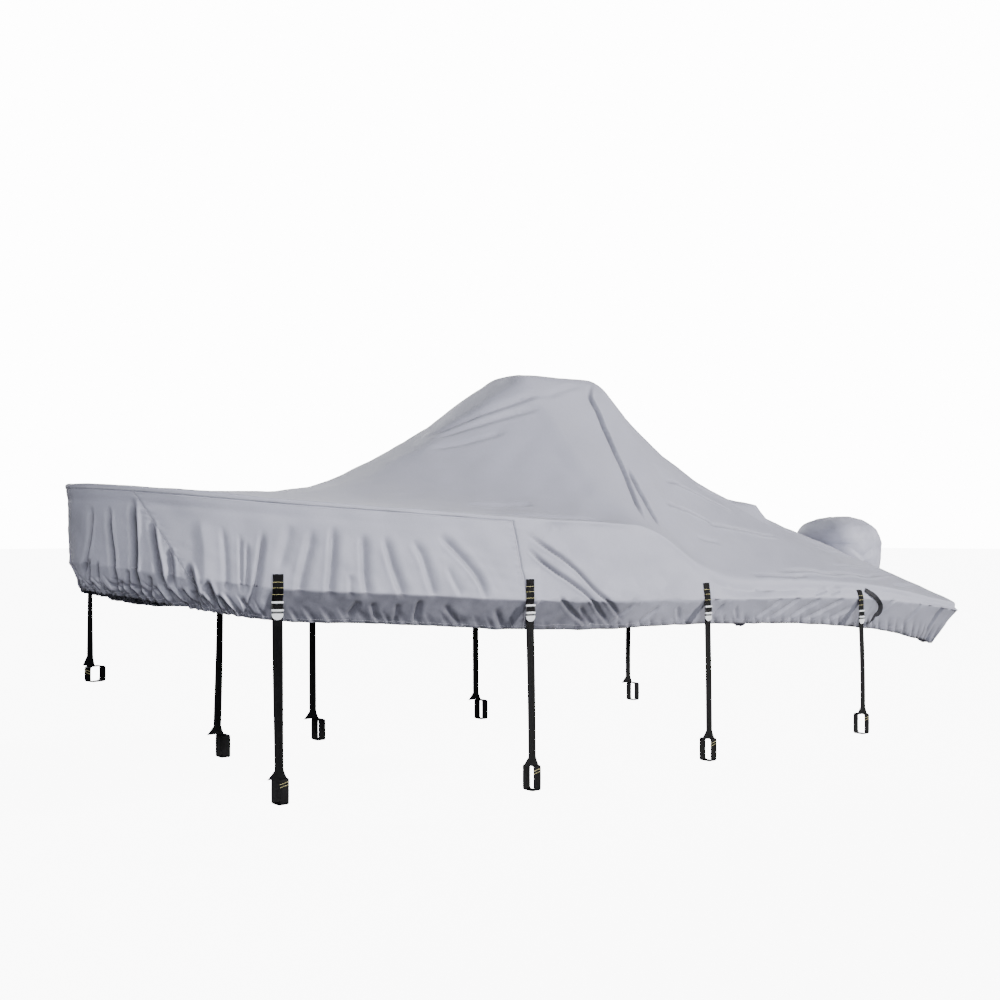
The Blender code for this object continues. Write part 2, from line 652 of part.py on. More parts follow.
def add_object(name, mesh_builder, colour, roughness, smooth=True):
    """Close a bmesh into a named object with a material of its own."""
    bmesh.ops.recalc_face_normals(mesh_builder, faces=mesh_builder.faces)
    mesh = bpy.data.meshes.new(name)
    mesh_builder.to_mesh(mesh)
    mesh_builder.free()
    mesh.materials.append(material(name + "_finish", colour, roughness))
    if smooth:
        mesh.shade_smooth()
        mesh.set_sharp_from_angle(angle=math.radians(40))
    made = bpy.data.objects.new(name, mesh)
    bpy.context.scene.collection.objects.link(made)
    return made


def thicken(outer, thickness, known=None):
    """Give an open sheet of cloth its thickness, inward, and close its rim.

    At the seams the thickness is given by known: vertex to outward vector. Both skins
    share their diagonals, so that they never cross on a warped quad.
    """
    known = known or {}
    bmesh.ops.triangulate(outer, faces=list(outer.faces))
    outer.normal_update()
    skin = list(outer.faces)
    rim = [edge for edge in outer.edges if edge.is_boundary]
    inner = {v: outer.verts.new(v.co - known.get(v, v.normal * thickness))
             for v in list(outer.verts)}
    for face in skin:
        outer.faces.new([inner[v] for v in reversed(face.verts)])
    for edge in rim:
        a, b = edge.verts
        face = edge.link_faces[0]
        order = [loop.vert for loop in face.loops]
        if order[(order.index(a) + 1) % len(order)] is b:
            a, b = b, a
        outer.faces.new((a, b, inner[b], inner[a]))


def grid_faces(builder, rows):
    """Quads between neighbouring rows of vertices."""
    for upper, lower in zip(rows, rows[1:]):
        for i in range(len(upper) - 1):
            builder.faces.new((upper[i], lower[i], lower[i + 1], upper[i + 1]))


def mirrored(point, side):
    return Vector((point.x, point.y if side < 0 else -point.y, point.z))


def seam_shift(point, toward):
    return point + (toward - point).normalized() * SEAM_HALF_GAP


def main_column(s, side):
    """Places down one line of the main panel below the crown, and thicknesses at its seams."""
    points = [top_point(s, share) for share in TOP_ROWS[1:]]
    points += [roll_point(s, share) for share in ROLL_ROWS]
    points.append(drop_point(s, 0.0, side, folded=False))
    seams = {}
    if s <= S_SIDE_SEAM:
        last = len(points) - 1
        points[last] = seam_shift(points[last], points[last - 1])
        seams[last] = seam_thickness(s, 0.0)
    if s < S_SIDE_SEAM - TINY:
        return points, seams
    for down in DROP_ROWS[1:]:
        place = drop_point(s, down, side)
        if s < S_SIDE_SEAM + TINY:
            place = seam_shift(place, drop_point(s + SEAM_READ, down, side))
            seams[len(points)] = seam_thickness(s, down)
        points.append(place)
    return points, seams


def build_main_panel():
    builder = bmesh.new()
    spine = [builder.verts.new(top_point(s, 0.0)) for s in LINES]
    known = {}
    ends = {}
    for side in (-1, 1):
        columns = []
        for crown, s in zip(spine, LINES):
            if s not in ends:
                points, seams = main_column(s, side)
                verts = [builder.verts.new(mirrored(p, side)) for p in points]
                known.update({verts[i]: mirrored(v, side) for i, v in seams.items()})
                columns.append([crown] + verts)
                if s in (LINES[0], LINES[-1]):
                    ends[s] = columns[-1]
            else:
                columns.append(ends[s])
        for before, after in zip(columns, columns[1:]):
            for i in range(min(len(before), len(after)) - 1):
                ring = [before[i], before[i + 1], after[i + 1], after[i]]
                builder.faces.new(ring if side < 0 else reversed(ring))
    thicken(builder, CLOTH, known)
    return add_object("main_panel", builder, GREY, CLOTH_ROUGHNESS)


def panel_columns(lines, fine, side):
    """Places of a hanging panel, and the thickness of its cloth at its seams.

    Its top row lies on the straight edges between the top panel's lines.
    """
    grid = []
    for before, after in zip(lines, lines[1:]):
        steps = fine + 1 if after == lines[-1] else fine
        for step in range(steps):
            share = step / fine
            s = after if step == fine else before + (after - before) * share
            top = drop_point(before, 0.0, side, False).lerp(
                drop_point(after, 0.0, side, False), share)
            places = [top] + [drop_point(s, down, side) for down in DROP_ROWS[1:]]
            places[0] = seam_shift(places[0], places[1])
            thick = [seam_thickness(before, 0.0).lerp(seam_thickness(after, 0.0), share)]
            if (before, step) == (lines[0], 0) or step == fine:
                thick += [seam_thickness(s, down) for down in DROP_ROWS[1:]]
            grid.append(([mirrored(p, side) for p in places], [mirrored(v, side) for v in thick]))
    return grid


def build_hanging_panel(name, grid, outward):
    for end, inner in ((0, 1), (-1, -2)):
        places = grid[end][0]
        places[:] = [seam_shift(p, near) for p, near in zip(places, grid[inner][0])]
    builder = bmesh.new()
    columns = []
    known = {}
    for places, thick in grid:
        columns.append([builder.verts.new(p) for p in places])
        known.update(zip(columns[-1], thick))
    grid_faces(builder, columns)
    builder.normal_update()
    middle = columns[len(columns) // 2][3]
    if middle.normal.dot(outward) < 0:
        bmesh.ops.reverse_faces(builder, faces=builder.faces)
    thicken(builder, CLOTH, known)
    return add_object(name, builder, GREY, CLOTH_ROUGHNESS)


def build_side_panel(name, side):
    lines = [s for s in LINES if S_BOW_SEAM - TINY <= s <= S_SIDE_SEAM + TINY]
    return build_hanging_panel(name, panel_columns(lines, SIDE_FINE, side), Vector((0, side, 0)))


def build_bow_panel():
    lines = [s for s in LINES if s <= S_BOW_SEAM + TINY]
    port = panel_columns(lines, BOW_FINE, -1)
    starboard = panel_columns(lines, BOW_FINE, 1)
    return build_hanging_panel("bow_panel", starboard[:0:-1] + port, Vector((-1, 0, 0)))


def build_motor_hood():
    """A domed box, open below, its front edge sewn into the stern notch."""
    around = 40
    dome_rows = 6
    wall_rows = 4
    builder = bmesh.new()
    rows = []
    for row in range(1, dome_rows + wall_rows + 1):
        ring = []
        for step in range(around):
            angle = math.tau * step / around
            ca, sa = math.cos(angle), math.sin(angle)
            squared = (abs(ca) ** HOOD_SQUARENESS + abs(sa) ** HOOD_SQUARENESS) ** (
                -1 / HOOD_SQUARENESS)
            reach_x = HOOD_HALF_LENGTH * ca * squared
            reach_y = HOOD_HALF_WIDTH * sa * squared
            if row <= dome_rows:
                tilt = math.radians(90) * row / dome_rows
                spread = math.sin(tilt) ** HOOD_SPREAD_POWER
                z = HOOD_EDGE_Z + (HOOD_TOP_Z - HOOD_EDGE_Z) * math.cos(tilt) ** HOOD_DOME_POWER
                reach_x -= HOOD_TOP_SHIFT * math.cos(tilt) ** HOOD_SHIFT_POWER
            else:
                down = (row - dome_rows) / wall_rows
                aft = smooth_step((reach_x + HOOD_FRONT_SHARE * HOOD_HALF_LENGTH) / HOOD_FRONT_TURN)
                front = HOOD_EDGE_Z - HOOD_FRONT_DROP
                hem = front + (HOOD_HEM_Z - front) * aft
                z = HOOD_EDGE_Z + (hem - HOOD_EDGE_Z) * down
                spread = 1 - HOOD_DRAWN_IN / HOOD_HALF_WIDTH * aft * down ** HOOD_GATHER_POWER
                wave = (1 + math.sin(HOOD_GATHERS * angle + HOOD_GATHER_TURN)) / 2
                spread -= HOOD_GATHER_DEPTH * aft * down * wave
            ring.append(builder.verts.new((HOOD_X + reach_x * spread, reach_y * spread, z)))
        rows.append(ring)
    cap = builder.verts.new((HOOD_X - HOOD_TOP_SHIFT, 0.0, HOOD_TOP_Z))
    for i in range(around):
        builder.faces.new((cap, rows[0][i], rows[0][(i + 1) % around]))
    for upper, lower in zip(rows, rows[1:]):
        for i in range(around):
            after = (i + 1) % around
            builder.faces.new((upper[i], lower[i], lower[after], upper[after]))
    thicken(builder, CLOTH)
    return add_object("motor_hood", builder, GREY, CLOTH_ROUGHNESS)


def loft(name, stations, colour, roughness, closed=False):
    """A flat band: each station is its middle, its width vector and its thickness vector."""
    builder = bmesh.new()
    rings = []
    for middle, across, thick in stations:
        rings.append([builder.verts.new(middle + across * a + thick * b)
                      for a, b in ((-0.5, -0.5), (0.5, -0.5), (0.5, 0.5), (-0.5, 0.5))])
    pairs = list(zip(rings, rings[1:]))
    if closed:
        pairs.append((rings[-1], rings[0]))
    else:
        builder.faces.new(rings[0])
        builder.faces.new(list(reversed(rings[-1])))
    for before, after in pairs:
        for i in range(4):
            j = (i + 1) % 4
            builder.faces.new((before[i], before[j], after[j], after[i]))
    return add_object(name, builder, colour, roughness, smooth=False)


def build_end_loop(name, corner, along, inward, height):
    """A sleeve of webbing with rounded corners, hanging from its upper outer corner."""
    depth = LOOP_DEPTH + WEB_THICKNESS
    height += WEB_THICKNESS
    down = Vector((0, 0, -1))
    turns = (
        # in from the corner, down from it, angle where the bend begins
        (LOOP_BEND, LOOP_BEND, 90),
        (LOOP_BEND, height - LOOP_BEND, 180),
        (depth - LOOP_BEND, height - LOOP_BEND, 270),
        (depth - LOOP_BEND, LOOP_BEND, 0),
    )
    stations = []
    for reach_in, reach_down, first in turns:
        centre = corner + inward * reach_in + down * reach_down
        for step in range(4):
            angle = math.radians(first + 90 * step / 3)
            out = inward * math.cos(angle) - down * math.sin(angle)
            stations.append((centre + out * LOOP_BEND, along * WEB, out * WEB_THICKNESS))
    return loft(name, stations, BLACK, WEB_ROUGHNESS, closed=True)


def surface_tree(objects):
    """One search tree over the faces of the built cloth."""
    places = []
    faces = []
    for made in objects:
        first = len(places)
        places += [vert.co for vert in made.data.vertices]
        faces += [[first + i for i in face.vertices] for face in made.data.polygons]
    return BVHTree.FromPolygons(places, faces)


def cloth_reach(cloth, base, out, aft, z, width):
    """How far out from the rail's point the cloth stands at a height, over a band's width."""
    reach = []
    for ray in range(RAYS):
        across = width * (ray / (RAYS - 1) - 0.5)
        start = base + out * RAY_START + aft * across + Vector((0, 0, z))
        hit = cloth.ray_cast(start, -out)[0]
        reach.append((hit - base).dot(out))
    return max(reach)


def build_strap(cloth, name, side, x_rail, top_z, x_loop, y_loop):
    s = place_of(x_rail)
    base = mirrored(outline_point(s).to_3d(), side)
    out = mirrored(outline_normal(s).to_3d(), side)
    aft = out.cross(Vector((0, 0, side)))
    rail_z = rail_height(s)
    patch_end = top_z - PATCH_LENGTH
    stations = []
    at_rail = max(cloth_reach(cloth, base, out, aft, rail_z + RAIL_CLEAR * step / 4, WEB)
                  for step in range(-8, 5))
    for share in PATCH_ROWS:
        z = top_z + (patch_end - top_z) * share
        reach = cloth_reach(cloth, base, out, aft, z, WEB)
        if z < rail_z + RAIL_CLEAR:
            reach = at_rail
        lift = reach + BAND_CLEAR + PATCH_THICKNESS / 2
        stations.append((base + out * lift + Vector((0, 0, z)), aft * WEB,
                         out * PATCH_THICKNESS))
    loft("strap_patch_" + name, stations, BLACK, WEB_ROUGHNESS)

    top = patch_end - GAP
    web_back = at_rail + GAP
    buckle_back = web_back + WEB_THICKNESS + GAP
    stations = []
    for down, width, thick in BUCKLE_ROWS:
        middle = base + out * (buckle_back + thick / 2) + Vector((0, 0, top - down))
        stations.append((middle, aft * width, out * thick))
    loft("strap_buckle_" + name, stations, LIGHT_GREY, BUCKLE_ROUGHNESS)

    start = base + out * (web_back + WEB_THICKNESS / 2) + Vector((0, 0, min(top, rail_z) - WEB_START))
    free_start = start - Vector((0, 0, WEB_STRAIGHT))
    end = Vector((x_loop, y_loop * side, LOOP_TOP_Z + WEB_THICKNESS + GAP))
    flare_start = end + (start - end).normalized() * FLARE_LENGTH
    stations = [(start, aft * WEB, out * WEB_THICKNESS)]
    for share in (0.0, 0.2, 0.4, 0.6, 0.8, 1.0):
        face = aft.lerp(Vector((1, 0, 0)), smooth_step(share)).normalized()
        outward = Vector((-face.y * side, face.x * side, 0.0))
        stations.append((free_start.lerp(flare_start, share), face * WEB,
                         outward * WEB_THICKNESS))
    stations.append((end + face * FLARE_SHIFT, face * FLARE_WIDTH, outward * WEB_THICKNESS))
    loft("strap_web_" + name, stations, BLACK, WEB_ROUGHNESS)
    inward = Vector((0, -side, 0))
    corner = Vector((x_loop + LOOP_SHIFT, end.y, LOOP_TOP_Z + WEB_THICKNESS / 2))
    corner -= inward * LOOP_LANDING
    build_end_loop("strap_loop_" + name, corner, face, inward, LOOP_HEIGHT)


def build_bow_strap():
    """Webbing sewn inside the hem at the tip, with an end loop for the bow eye."""
    stations = []
    width = Vector((0, -1, 0))
    thick = Vector((WEB_THICKNESS, 0, 0))
    for down in (BOW_WEB_FROM, 1.0):
        cloth = drop_point(0.0, down, -1, folded=False)
        stations.append((Vector((cloth.x + CLOTH + BOW_WEB_CLEAR, 0, cloth.z)), width * WEB, thick))
    hem = stations[-1][0]
    facing = Vector((*BOW_WEB_FACING, 0)).normalized()
    across = Vector((-facing.y, facing.x, 0))
    end = Vector((hem.x, 0, BOW_LOOP_TOP_Z + WEB_THICKNESS + GAP))
    flare_start = end + Vector((0, 0, FLARE_LENGTH))
    for share in (0.3, 0.7, 1.0):
        turned = width.lerp(facing, share).normalized()
        stations.append((hem.lerp(flare_start, share), turned * WEB,
                         Vector((-turned.y, turned.x, 0)) * WEB_THICKNESS))
    stations.append((end - facing * BOW_FLARE_SHIFT, facing * BOW_FLARE_WIDTH,
                     across * WEB_THICKNESS))
    loft("bow_strap_web", stations, BLACK, WEB_ROUGHNESS)
    corner = Vector((end.x, 0, BOW_LOOP_TOP_Z + WEB_THICKNESS / 2)) - across * LOOP_LANDING
    build_end_loop("bow_strap_loop", corner, facing, across, BOW_LOOP_HEIGHT)


def build_stern_tape(cloth):
    """A length of tape sewn at both ends that stands off the cloth between them."""
    middles = []
    for x, z, stand_off, turn in TAPE_ROWS:
        s = place_of(x)
        out = outline_normal(s).to_3d()
        base = outline_point(s).to_3d()
        if stand_off is None:
            aft = out.cross(Vector((0, 0, -1)))
            stand_off = TAPE_CLEAR + TAPE_THICKNESS / 2 + max(
                cloth_reach(cloth, base, out, aft, z + slant * TAPE_WIDTH, TAPE_WIDTH)
                for slant in (-0.4, 0.0, 0.4))
        middles.append((base + out * stand_off + Vector((0, 0, z)), out))
    stations = []
    for i, (middle, out) in enumerate(middles):
        before = middles[max(i - 1, 0)][0]
        after = middles[min(i + 1, len(middles) - 1)][0]
        path = (after - before).normalized()
        flat = path.cross(out).normalized()
        turn = math.radians(TAPE_ROWS[i][3])
        across = (flat * math.cos(turn) + path.cross(flat) * -math.sin(turn)).normalized()
        stations.append((middle, across * TAPE_WIDTH, path.cross(across) * TAPE_THICKNESS))
    loft("stern_tape", stations, DARK_GREY, TAPE_ROUGHNESS)


def remove_everything():
    for old in list(bpy.data.objects):
        bpy.data.objects.remove(old, do_unlink=True)


def main():
    remove_everything()
    cloth = surface_tree([
        build_main_panel(),
        build_side_panel("side_panel_port", -1),
        build_side_panel("side_panel_starboard", 1),
        build_bow_panel(),
    ])
    build_motor_hood()
    for strap in STRAPS:
        build_strap(cloth, *strap)
    build_bow_strap()
    build_stern_tape(cloth)


main()
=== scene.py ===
import math

import bmesh
import bpy
import numpy as np
from mathutils import Matrix, Vector
from mathutils.bvhtree import BVHTree


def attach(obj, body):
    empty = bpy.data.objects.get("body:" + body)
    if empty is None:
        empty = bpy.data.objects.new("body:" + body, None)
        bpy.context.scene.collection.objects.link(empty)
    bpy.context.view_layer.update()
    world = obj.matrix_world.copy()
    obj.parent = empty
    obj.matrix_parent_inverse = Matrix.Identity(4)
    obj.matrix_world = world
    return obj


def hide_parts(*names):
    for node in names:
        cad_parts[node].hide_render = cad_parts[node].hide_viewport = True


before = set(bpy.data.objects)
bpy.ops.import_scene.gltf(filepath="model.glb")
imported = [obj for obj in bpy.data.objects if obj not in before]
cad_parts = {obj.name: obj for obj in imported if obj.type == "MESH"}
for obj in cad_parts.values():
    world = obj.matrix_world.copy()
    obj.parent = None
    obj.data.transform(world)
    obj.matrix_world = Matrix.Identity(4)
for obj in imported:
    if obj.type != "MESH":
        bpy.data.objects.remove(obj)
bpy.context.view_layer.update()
body = "root"


# Camera and light

view = {
    "place": (-5.659, -6.314, -0.790),
    "heading": -40.0,        # degrees, level
    "lens": 50.0,
    "shiftUp": 0.008,
}

studio = {
    "floorHeight": -2.676,
    "floorRadius": 60.0,
    "floorColour": (0.90, 0.90, 0.905),
    "floorDarker": 0.985,
    "floorRoughness": 0.75,
    "floorGlow": 9.0,
    "backdropRadius": 75.0,
    "backdropColour": (1.0, 1.0, 1.0),
    "backdropGlow": 14.0,
    "skyAbove": (0.150, 0.154, 0.172),
    "skyBelow": (0.05, 0.05, 0.058),
    "skyBlend": (0.36, 0.64),        # where the sky changes, from straight down to straight up
    # name, direction towards the light, size in degrees, strength, colour
    "lights": [
        ("keyLight", (0.62, -0.73, 0.28), 5.0, 5.3, (1.0, 0.985, 0.965)),
        ("bowFill", (-0.34, -0.92, 0.15), 20.0, 2.5, (0.97, 0.98, 1.0)),
        ("noseFill", (-0.80, -0.58, 0.12), 25.0, 1.0, (0.97, 0.98, 1.0)),
        ("backFill", (0.10, 0.88, 0.46), 20.0, 2.6, (0.97, 0.98, 1.0)),
    ],
}

cameraData = bpy.data.cameras.new("photoCamera")
cameraData.lens = view["lens"]
cameraData.sensor_width = 36.0
cameraData.shift_y = view["shiftUp"]
cameraData.clip_end = 500.0
camera = bpy.data.objects.new("photoCamera", cameraData)
camera.location = view["place"]
camera.rotation_euler = (math.radians(90), 0.0, math.radians(view["heading"]))
bpy.context.scene.collection.objects.link(camera)
bpy.context.scene.camera = camera

for name, towards, size, strength, colour in studio["lights"]:
    lampData = bpy.data.lights.new(name, "SUN")
    lampData.angle = math.radians(size)
    lampData.energy = strength
    lampData.color = colour
    lamp = bpy.data.objects.new(name, lampData)
    lamp.location = Vector(towards) * 12
    lamp.rotation_euler = Vector(towards).to_track_quat("Z", "Y").to_euler()
    bpy.context.scene.collection.objects.link(lamp)
print("camera, lamps and sky are set")


# Small tools for materials

def addNode(tree, kind, inputs=(), **settings):
    node = tree.nodes.new(kind)
    for key, value in settings.items():
        setattr(node, key, value)
    for key, value in dict(inputs).items():
        if hasattr(value, "is_output"):
            tree.links.new(value, node.inputs[key])
        else:
            node.inputs[key].default_value = value
    return node


def newMaterial(name, roughness, **sockets):
    made = bpy.data.materials.new(name)
    made.use_nodes = True
    shader = made.node_tree.nodes["Principled BSDF"]
    shader.inputs["Roughness"].default_value = roughness
    for key, value in sockets.items():
        shader.inputs[key].default_value = value
    return made, made.node_tree, shader


def colourSpread(tree, factor, dark, light, low=0.3, high=0.7):
    ramp = addNode(tree, "ShaderNodeValToRGB", {"Fac": factor})
    ramp.color_ramp.elements[0].position = low
    ramp.color_ramp.elements[0].color = (*dark, 1.0)
    ramp.color_ramp.elements[1].position = high
    ramp.color_ramp.elements[1].color = (*light, 1.0)
    return ramp.outputs["Color"]


def mathNode(tree, operation, *values):
    return addNode(tree, "ShaderNodeMath", enumerate(values), operation=operation).outputs[0]


def addNoise(tree, place, scale, detail, **settings):
    # noise that stays with the piece, in its own sizes
    return addNode(tree, "ShaderNodeTexNoise", {
        "Vector": place.outputs["Object"], "Scale": scale, "Detail": detail, **settings}).outputs["Fac"]


def addWave(tree, place, direction, pitch, **settings):
    # even ribs, one for each pitch along the cloth's own lay
    return addNode(tree, "ShaderNodeTexWave", {
        "Vector": place.outputs["UV"], "Scale": math.tau / 20 / pitch, "Distortion": 0.0, **settings},
        bands_direction=direction).outputs["Fac"]


def addBumps(tree, shader, *bumps):
    # height, depth in metres and strength of each bump, the coarsest first
    last = None
    for height, depth, strength in bumps:
        inputs = {"Height": height, "Distance": depth, "Strength": strength}
        if last:
            inputs["Normal"] = last
        last = addNode(tree, "ShaderNodeBump", inputs).outputs["Normal"]
    tree.links.new(last, shader.inputs["Normal"])


def setRoughness(tree, shader, factor, low, high):
    rough = addNode(tree, "ShaderNodeMapRange", {"Value": factor, "To Min": low, "To Max": high})
    tree.links.new(rough.outputs["Result"], shader.inputs["Roughness"])


def setGlow(shader, colour, strength):
    shader.inputs["Emission Color"].default_value = (*colour, 1.0)
    shader.inputs["Emission Strength"].default_value = strength


def mixColours(tree, blend, factor, first, second):
    mix = addNode(tree, "ShaderNodeMix", data_type="RGBA", blend_type=blend)
    for socket, value in ((0, factor), (6, first), (7, second)):
        if hasattr(value, "is_output"):
            tree.links.new(value, mix.inputs[socket])
        else:
            mix.inputs[socket].default_value = value
    return mix.outputs[2]


def makeSky():
    # soft light from above, and little from below
    made = bpy.data.worlds.new("studioSky")
    made.use_nodes = True
    tree = made.node_tree
    place = addNode(tree, "ShaderNodeTexCoord")
    height = addNode(tree, "ShaderNodeSeparateXYZ", {0: place.outputs["Generated"]})
    colour = colourSpread(tree, mathNode(tree, "MULTIPLY_ADD", height.outputs["Z"], 0.5, 0.5),
                          studio["skyBelow"], studio["skyAbove"], *studio["skyBlend"])
    tree.links.new(colour, tree.nodes["Background"].inputs["Color"])
    bpy.context.scene.world = made


makeSky()

clothFinish = {
    "light": (0.362, 0.366, 0.445),
    "dark": (0.332, 0.336, 0.408),
    "shadeAndSoilDarkening": (0.17, 0.17, 0.19),       # multiplies the colour for painted shade under the fold and in fold and pleat bottoms, for the darker hem, and for soil on the hood
    "rubbed": (0.56, 0.565, 0.64),     # painted highlight along the rolled rim
    "roughness": (0.56, 0.68),
    "sheen": 0.12, "sheenRoughness": 0.5,
    "mottleScale": 1.7, "grainScale": 160.0, "grainDark": 0.94,
    # noise that makes the painted shade and the soil patchy
    "shadeSoilScale": 14.0, "shadeSoilSpread": 0.5, "shadeSoilLeast": 0.62,
    "weavePitch": 0.0016, "weaveDepth": 0.00008,
    "crumpleScale": 9.0, "crumple": 0.0014,
    "fineScale": 55.0, "fine": 0.0003,
}


def makeCloth():
    made, tree, shader = newMaterial("coatedPolyester", clothFinish["roughness"][0],
                                     **{"Sheen Weight": clothFinish["sheen"],
                                        "Sheen Roughness": clothFinish["sheenRoughness"]})
    place = addNode(tree, "ShaderNodeTexCoord")
    mottle = addNoise(tree, place, clothFinish["mottleScale"], 5.0, Roughness=0.55)
    grain = addNoise(tree, place, clothFinish["grainScale"], 2.0)
    colour = colourSpread(tree, mottle, clothFinish["dark"], clothFinish["light"])
    speckle = colourSpread(tree, grain, (clothFinish["grainDark"],) * 3, (1.0, 1.0, 1.0))
    colour = mixColours(tree, "MULTIPLY", 1.0, colour, speckle)
    # the cloth's mark attribute: above 0 it is painted shade on the turned-in band and in the bottoms of
    # folds and pleats, darker towards the hem, and soil on the hood; below 0 it is a painted highlight
    # on the rolled rim
    edge = addNode(tree, "ShaderNodeAttribute", attribute_name="paintedLightAndSoil")
    soilAndShade = addNoise(tree, place, clothFinish["shadeSoilScale"], 6.0)
    patchy = mathNode(tree, "MULTIPLY_ADD", soilAndShade, clothFinish["shadeSoilSpread"], clothFinish["shadeSoilLeast"])
    shadeAndSoilDarkening = mathNode(tree, "MULTIPLY", edge.outputs["Fac"], patchy)
    colour = mixColours(tree, "MULTIPLY", shadeAndSoilDarkening, colour, (*clothFinish["shadeAndSoilDarkening"], 1.0))
    # painted highlight: where the mark attribute is below 0 the rolled rim is mixed towards a paler
    # colour
    pale = mathNode(tree, "MULTIPLY", edge.outputs["Fac"], -1.0)
    colour = mixColours(tree, "MIX", pale, colour, (*clothFinish["rubbed"], 1.0))
    tree.links.new(colour, shader.inputs["Base Color"])

    threads = [addWave(tree, place, direction, clothFinish["weavePitch"]) for direction in ("X", "Y")]
    weave = mathNode(tree, "MULTIPLY", *threads)
    wrinkles = addNoise(tree, place, clothFinish["crumpleScale"], 5.0, Roughness=0.5, Distortion=0.6)
    fine = addNoise(tree, place, clothFinish["fineScale"], 3.0)
    addBumps(tree, shader, (wrinkles, clothFinish["crumple"], 0.8), (fine, clothFinish["fine"], 0.7),
             (weave, clothFinish["weaveDepth"], 0.5))
    setRoughness(tree, shader, mottle, *clothFinish["roughness"])
    return made


webFinish = {
    "black": (0.0022, 0.0022, 0.0026),
    "rubbed": (0.005, 0.005, 0.006),
    "ribPitch": 0.0028, "cordPitch": 0.004, "ribDepth": 0.0003,
    "rubScale": 26.0, "rubSpread": (0.42, 0.78),
    "roughness": 0.62, "shine": 0.09,
}


def makeWebbing(name, dark, light):
    made, tree, shader = newMaterial(name, webFinish["roughness"],
                                     **{"Specular IOR Level": webFinish["shine"]})
    place = addNode(tree, "ShaderNodeTexCoord")
    ribs = addWave(tree, place, "Y", webFinish["ribPitch"], Distortion=0.4, Detail=1.0)
    cords = addWave(tree, place, "X", webFinish["cordPitch"])
    rubbed = addNoise(tree, place, webFinish["rubScale"], 6.0, Roughness=0.65)
    colour = colourSpread(tree, rubbed, dark, light, *webFinish["rubSpread"])
    tree.links.new(colour, shader.inputs["Base Color"])
    height = mathNode(tree, "ADD", ribs, mathNode(tree, "MULTIPLY", cords, 0.5))
    addBumps(tree, shader, (height, webFinish["ribDepth"], 0.8))
    return made


buckleFinish = {
    "scuffScale": 90.0, "scuffSpread": (0.35, 0.62), "scuffDepth": 0.0002,
    "smoother": 0.1, "rougher": 0.12,
}


def makeBuckleFinish(name, dark, light, roughness):
    made, tree, shader = newMaterial(name, roughness)
    place = addNode(tree, "ShaderNodeTexCoord")
    scuffs = addNoise(tree, place, buckleFinish["scuffScale"], 7.0, Roughness=0.7)
    colour = colourSpread(tree, scuffs, dark, light, *buckleFinish["scuffSpread"])
    tree.links.new(colour, shader.inputs["Base Color"])
    setRoughness(tree, shader, scuffs, roughness - buckleFinish["smoother"],
                 roughness + buckleFinish["rougher"])
    addBumps(tree, shader, (scuffs, buckleFinish["scuffDepth"], 0.5))
    return made


threadFinish = {"roughness": 0.55, "fibreScale": 700.0}


def makeThread(name, dark, light):
    made, tree, shader = newMaterial(name, threadFinish["roughness"])
    place = addNode(tree, "ShaderNodeTexCoord")
    fibres = addNoise(tree, place, threadFinish["fibreScale"], 2.0)
    tree.links.new(colourSpread(tree, fibres, dark, light), shader.inputs["Base Color"])
    return made


cloth = makeCloth()
webbing = makeWebbing("blackWebbing", webFinish["black"], webFinish["rubbed"])
tapeCloth = makeWebbing("greyTape", (0.030, 0.030, 0.034), (0.060, 0.060, 0.066))
palePlastic = makeBuckleFinish("palePlastic", (0.60, 0.61, 0.64), (0.74, 0.75, 0.78), 0.38)
darkPlastic = makeBuckleFinish("darkPlastic", (0.014, 0.014, 0.016), (0.030, 0.031, 0.034), 0.48)
greyThread = makeThread("greyThread", (0.29, 0.29, 0.34), (0.38, 0.38, 0.44))
oliveThread = makeThread("oliveThread", (0.42, 0.38, 0.16), (0.62, 0.58, 0.30))


def addStage(name, shape, material, hiddenFrom):
    # a piece of the studio, not of the cover
    mesh = bpy.data.meshes.new(name)
    shape.to_mesh(mesh)
    shape.free()
    mesh.materials.append(material)
    made = bpy.data.objects.new(name, mesh)
    bpy.context.scene.collection.objects.link(made)
    for light in hiddenFrom:
        setattr(made, "visible_" + light, False)


floorMaterial, floorTree, floorShader = newMaterial("paleFloor", studio["floorRoughness"])
floorNoise = addNode(floorTree, "ShaderNodeTexNoise", {"Scale": 0.8, "Detail": 3.0})
floorDark = tuple(studio["floorDarker"] * part for part in studio["floorColour"])
floorTree.links.new(colourSpread(floorTree, floorNoise.outputs["Fac"], floorDark, studio["floorColour"]),
                    floorShader.inputs["Base Color"])
setGlow(floorShader, (1.0, 1.0, 1.0), studio["floorGlow"])
floorShape = bmesh.new()
bmesh.ops.create_circle(floorShape, cap_ends=True, radius=studio["floorRadius"], segments=64,
                        matrix=Matrix.Translation((0, 0, studio["floorHeight"])))
addStage("floor", floorShape, floorMaterial, ("diffuse", "glossy"))

backdropMaterial, backdropTree, backdropShader = newMaterial("paleBackdrop", 1.0)
backdropShader.inputs["Base Color"].default_value = (0.0, 0.0, 0.0, 1.0)
backdropShader.inputs["Specular IOR Level"].default_value = 0.0
setGlow(backdropShader, studio["backdropColour"], studio["backdropGlow"])
backdropShape = bmesh.new()
bmesh.ops.create_uvsphere(backdropShape, u_segments=48, v_segments=24, radius=studio["backdropRadius"])
bmesh.ops.reverse_faces(backdropShape, faces=backdropShape.faces)
addStage("backdrop", backdropShape, backdropMaterial, ("diffuse", "glossy", "transmission", "shadow"))
print("materials and floor are made")


# Shape of the cover as it drapes: the same sizes as the solids

coverPlan = {
    "tipX": -2.980, "sternX": 2.970,
    "halfBeam": 1.05, "sternHalfBeam": 1.02,
    "noseLength": 2.6, "nosePower": 2.2, "noseFullness": 0.55,
    "cornerRadius": 0.10,
    "notchX": 2.660, "notchHalf": 0.272, "notchRadius": 0.05,
    "noseSteps": 640,
}

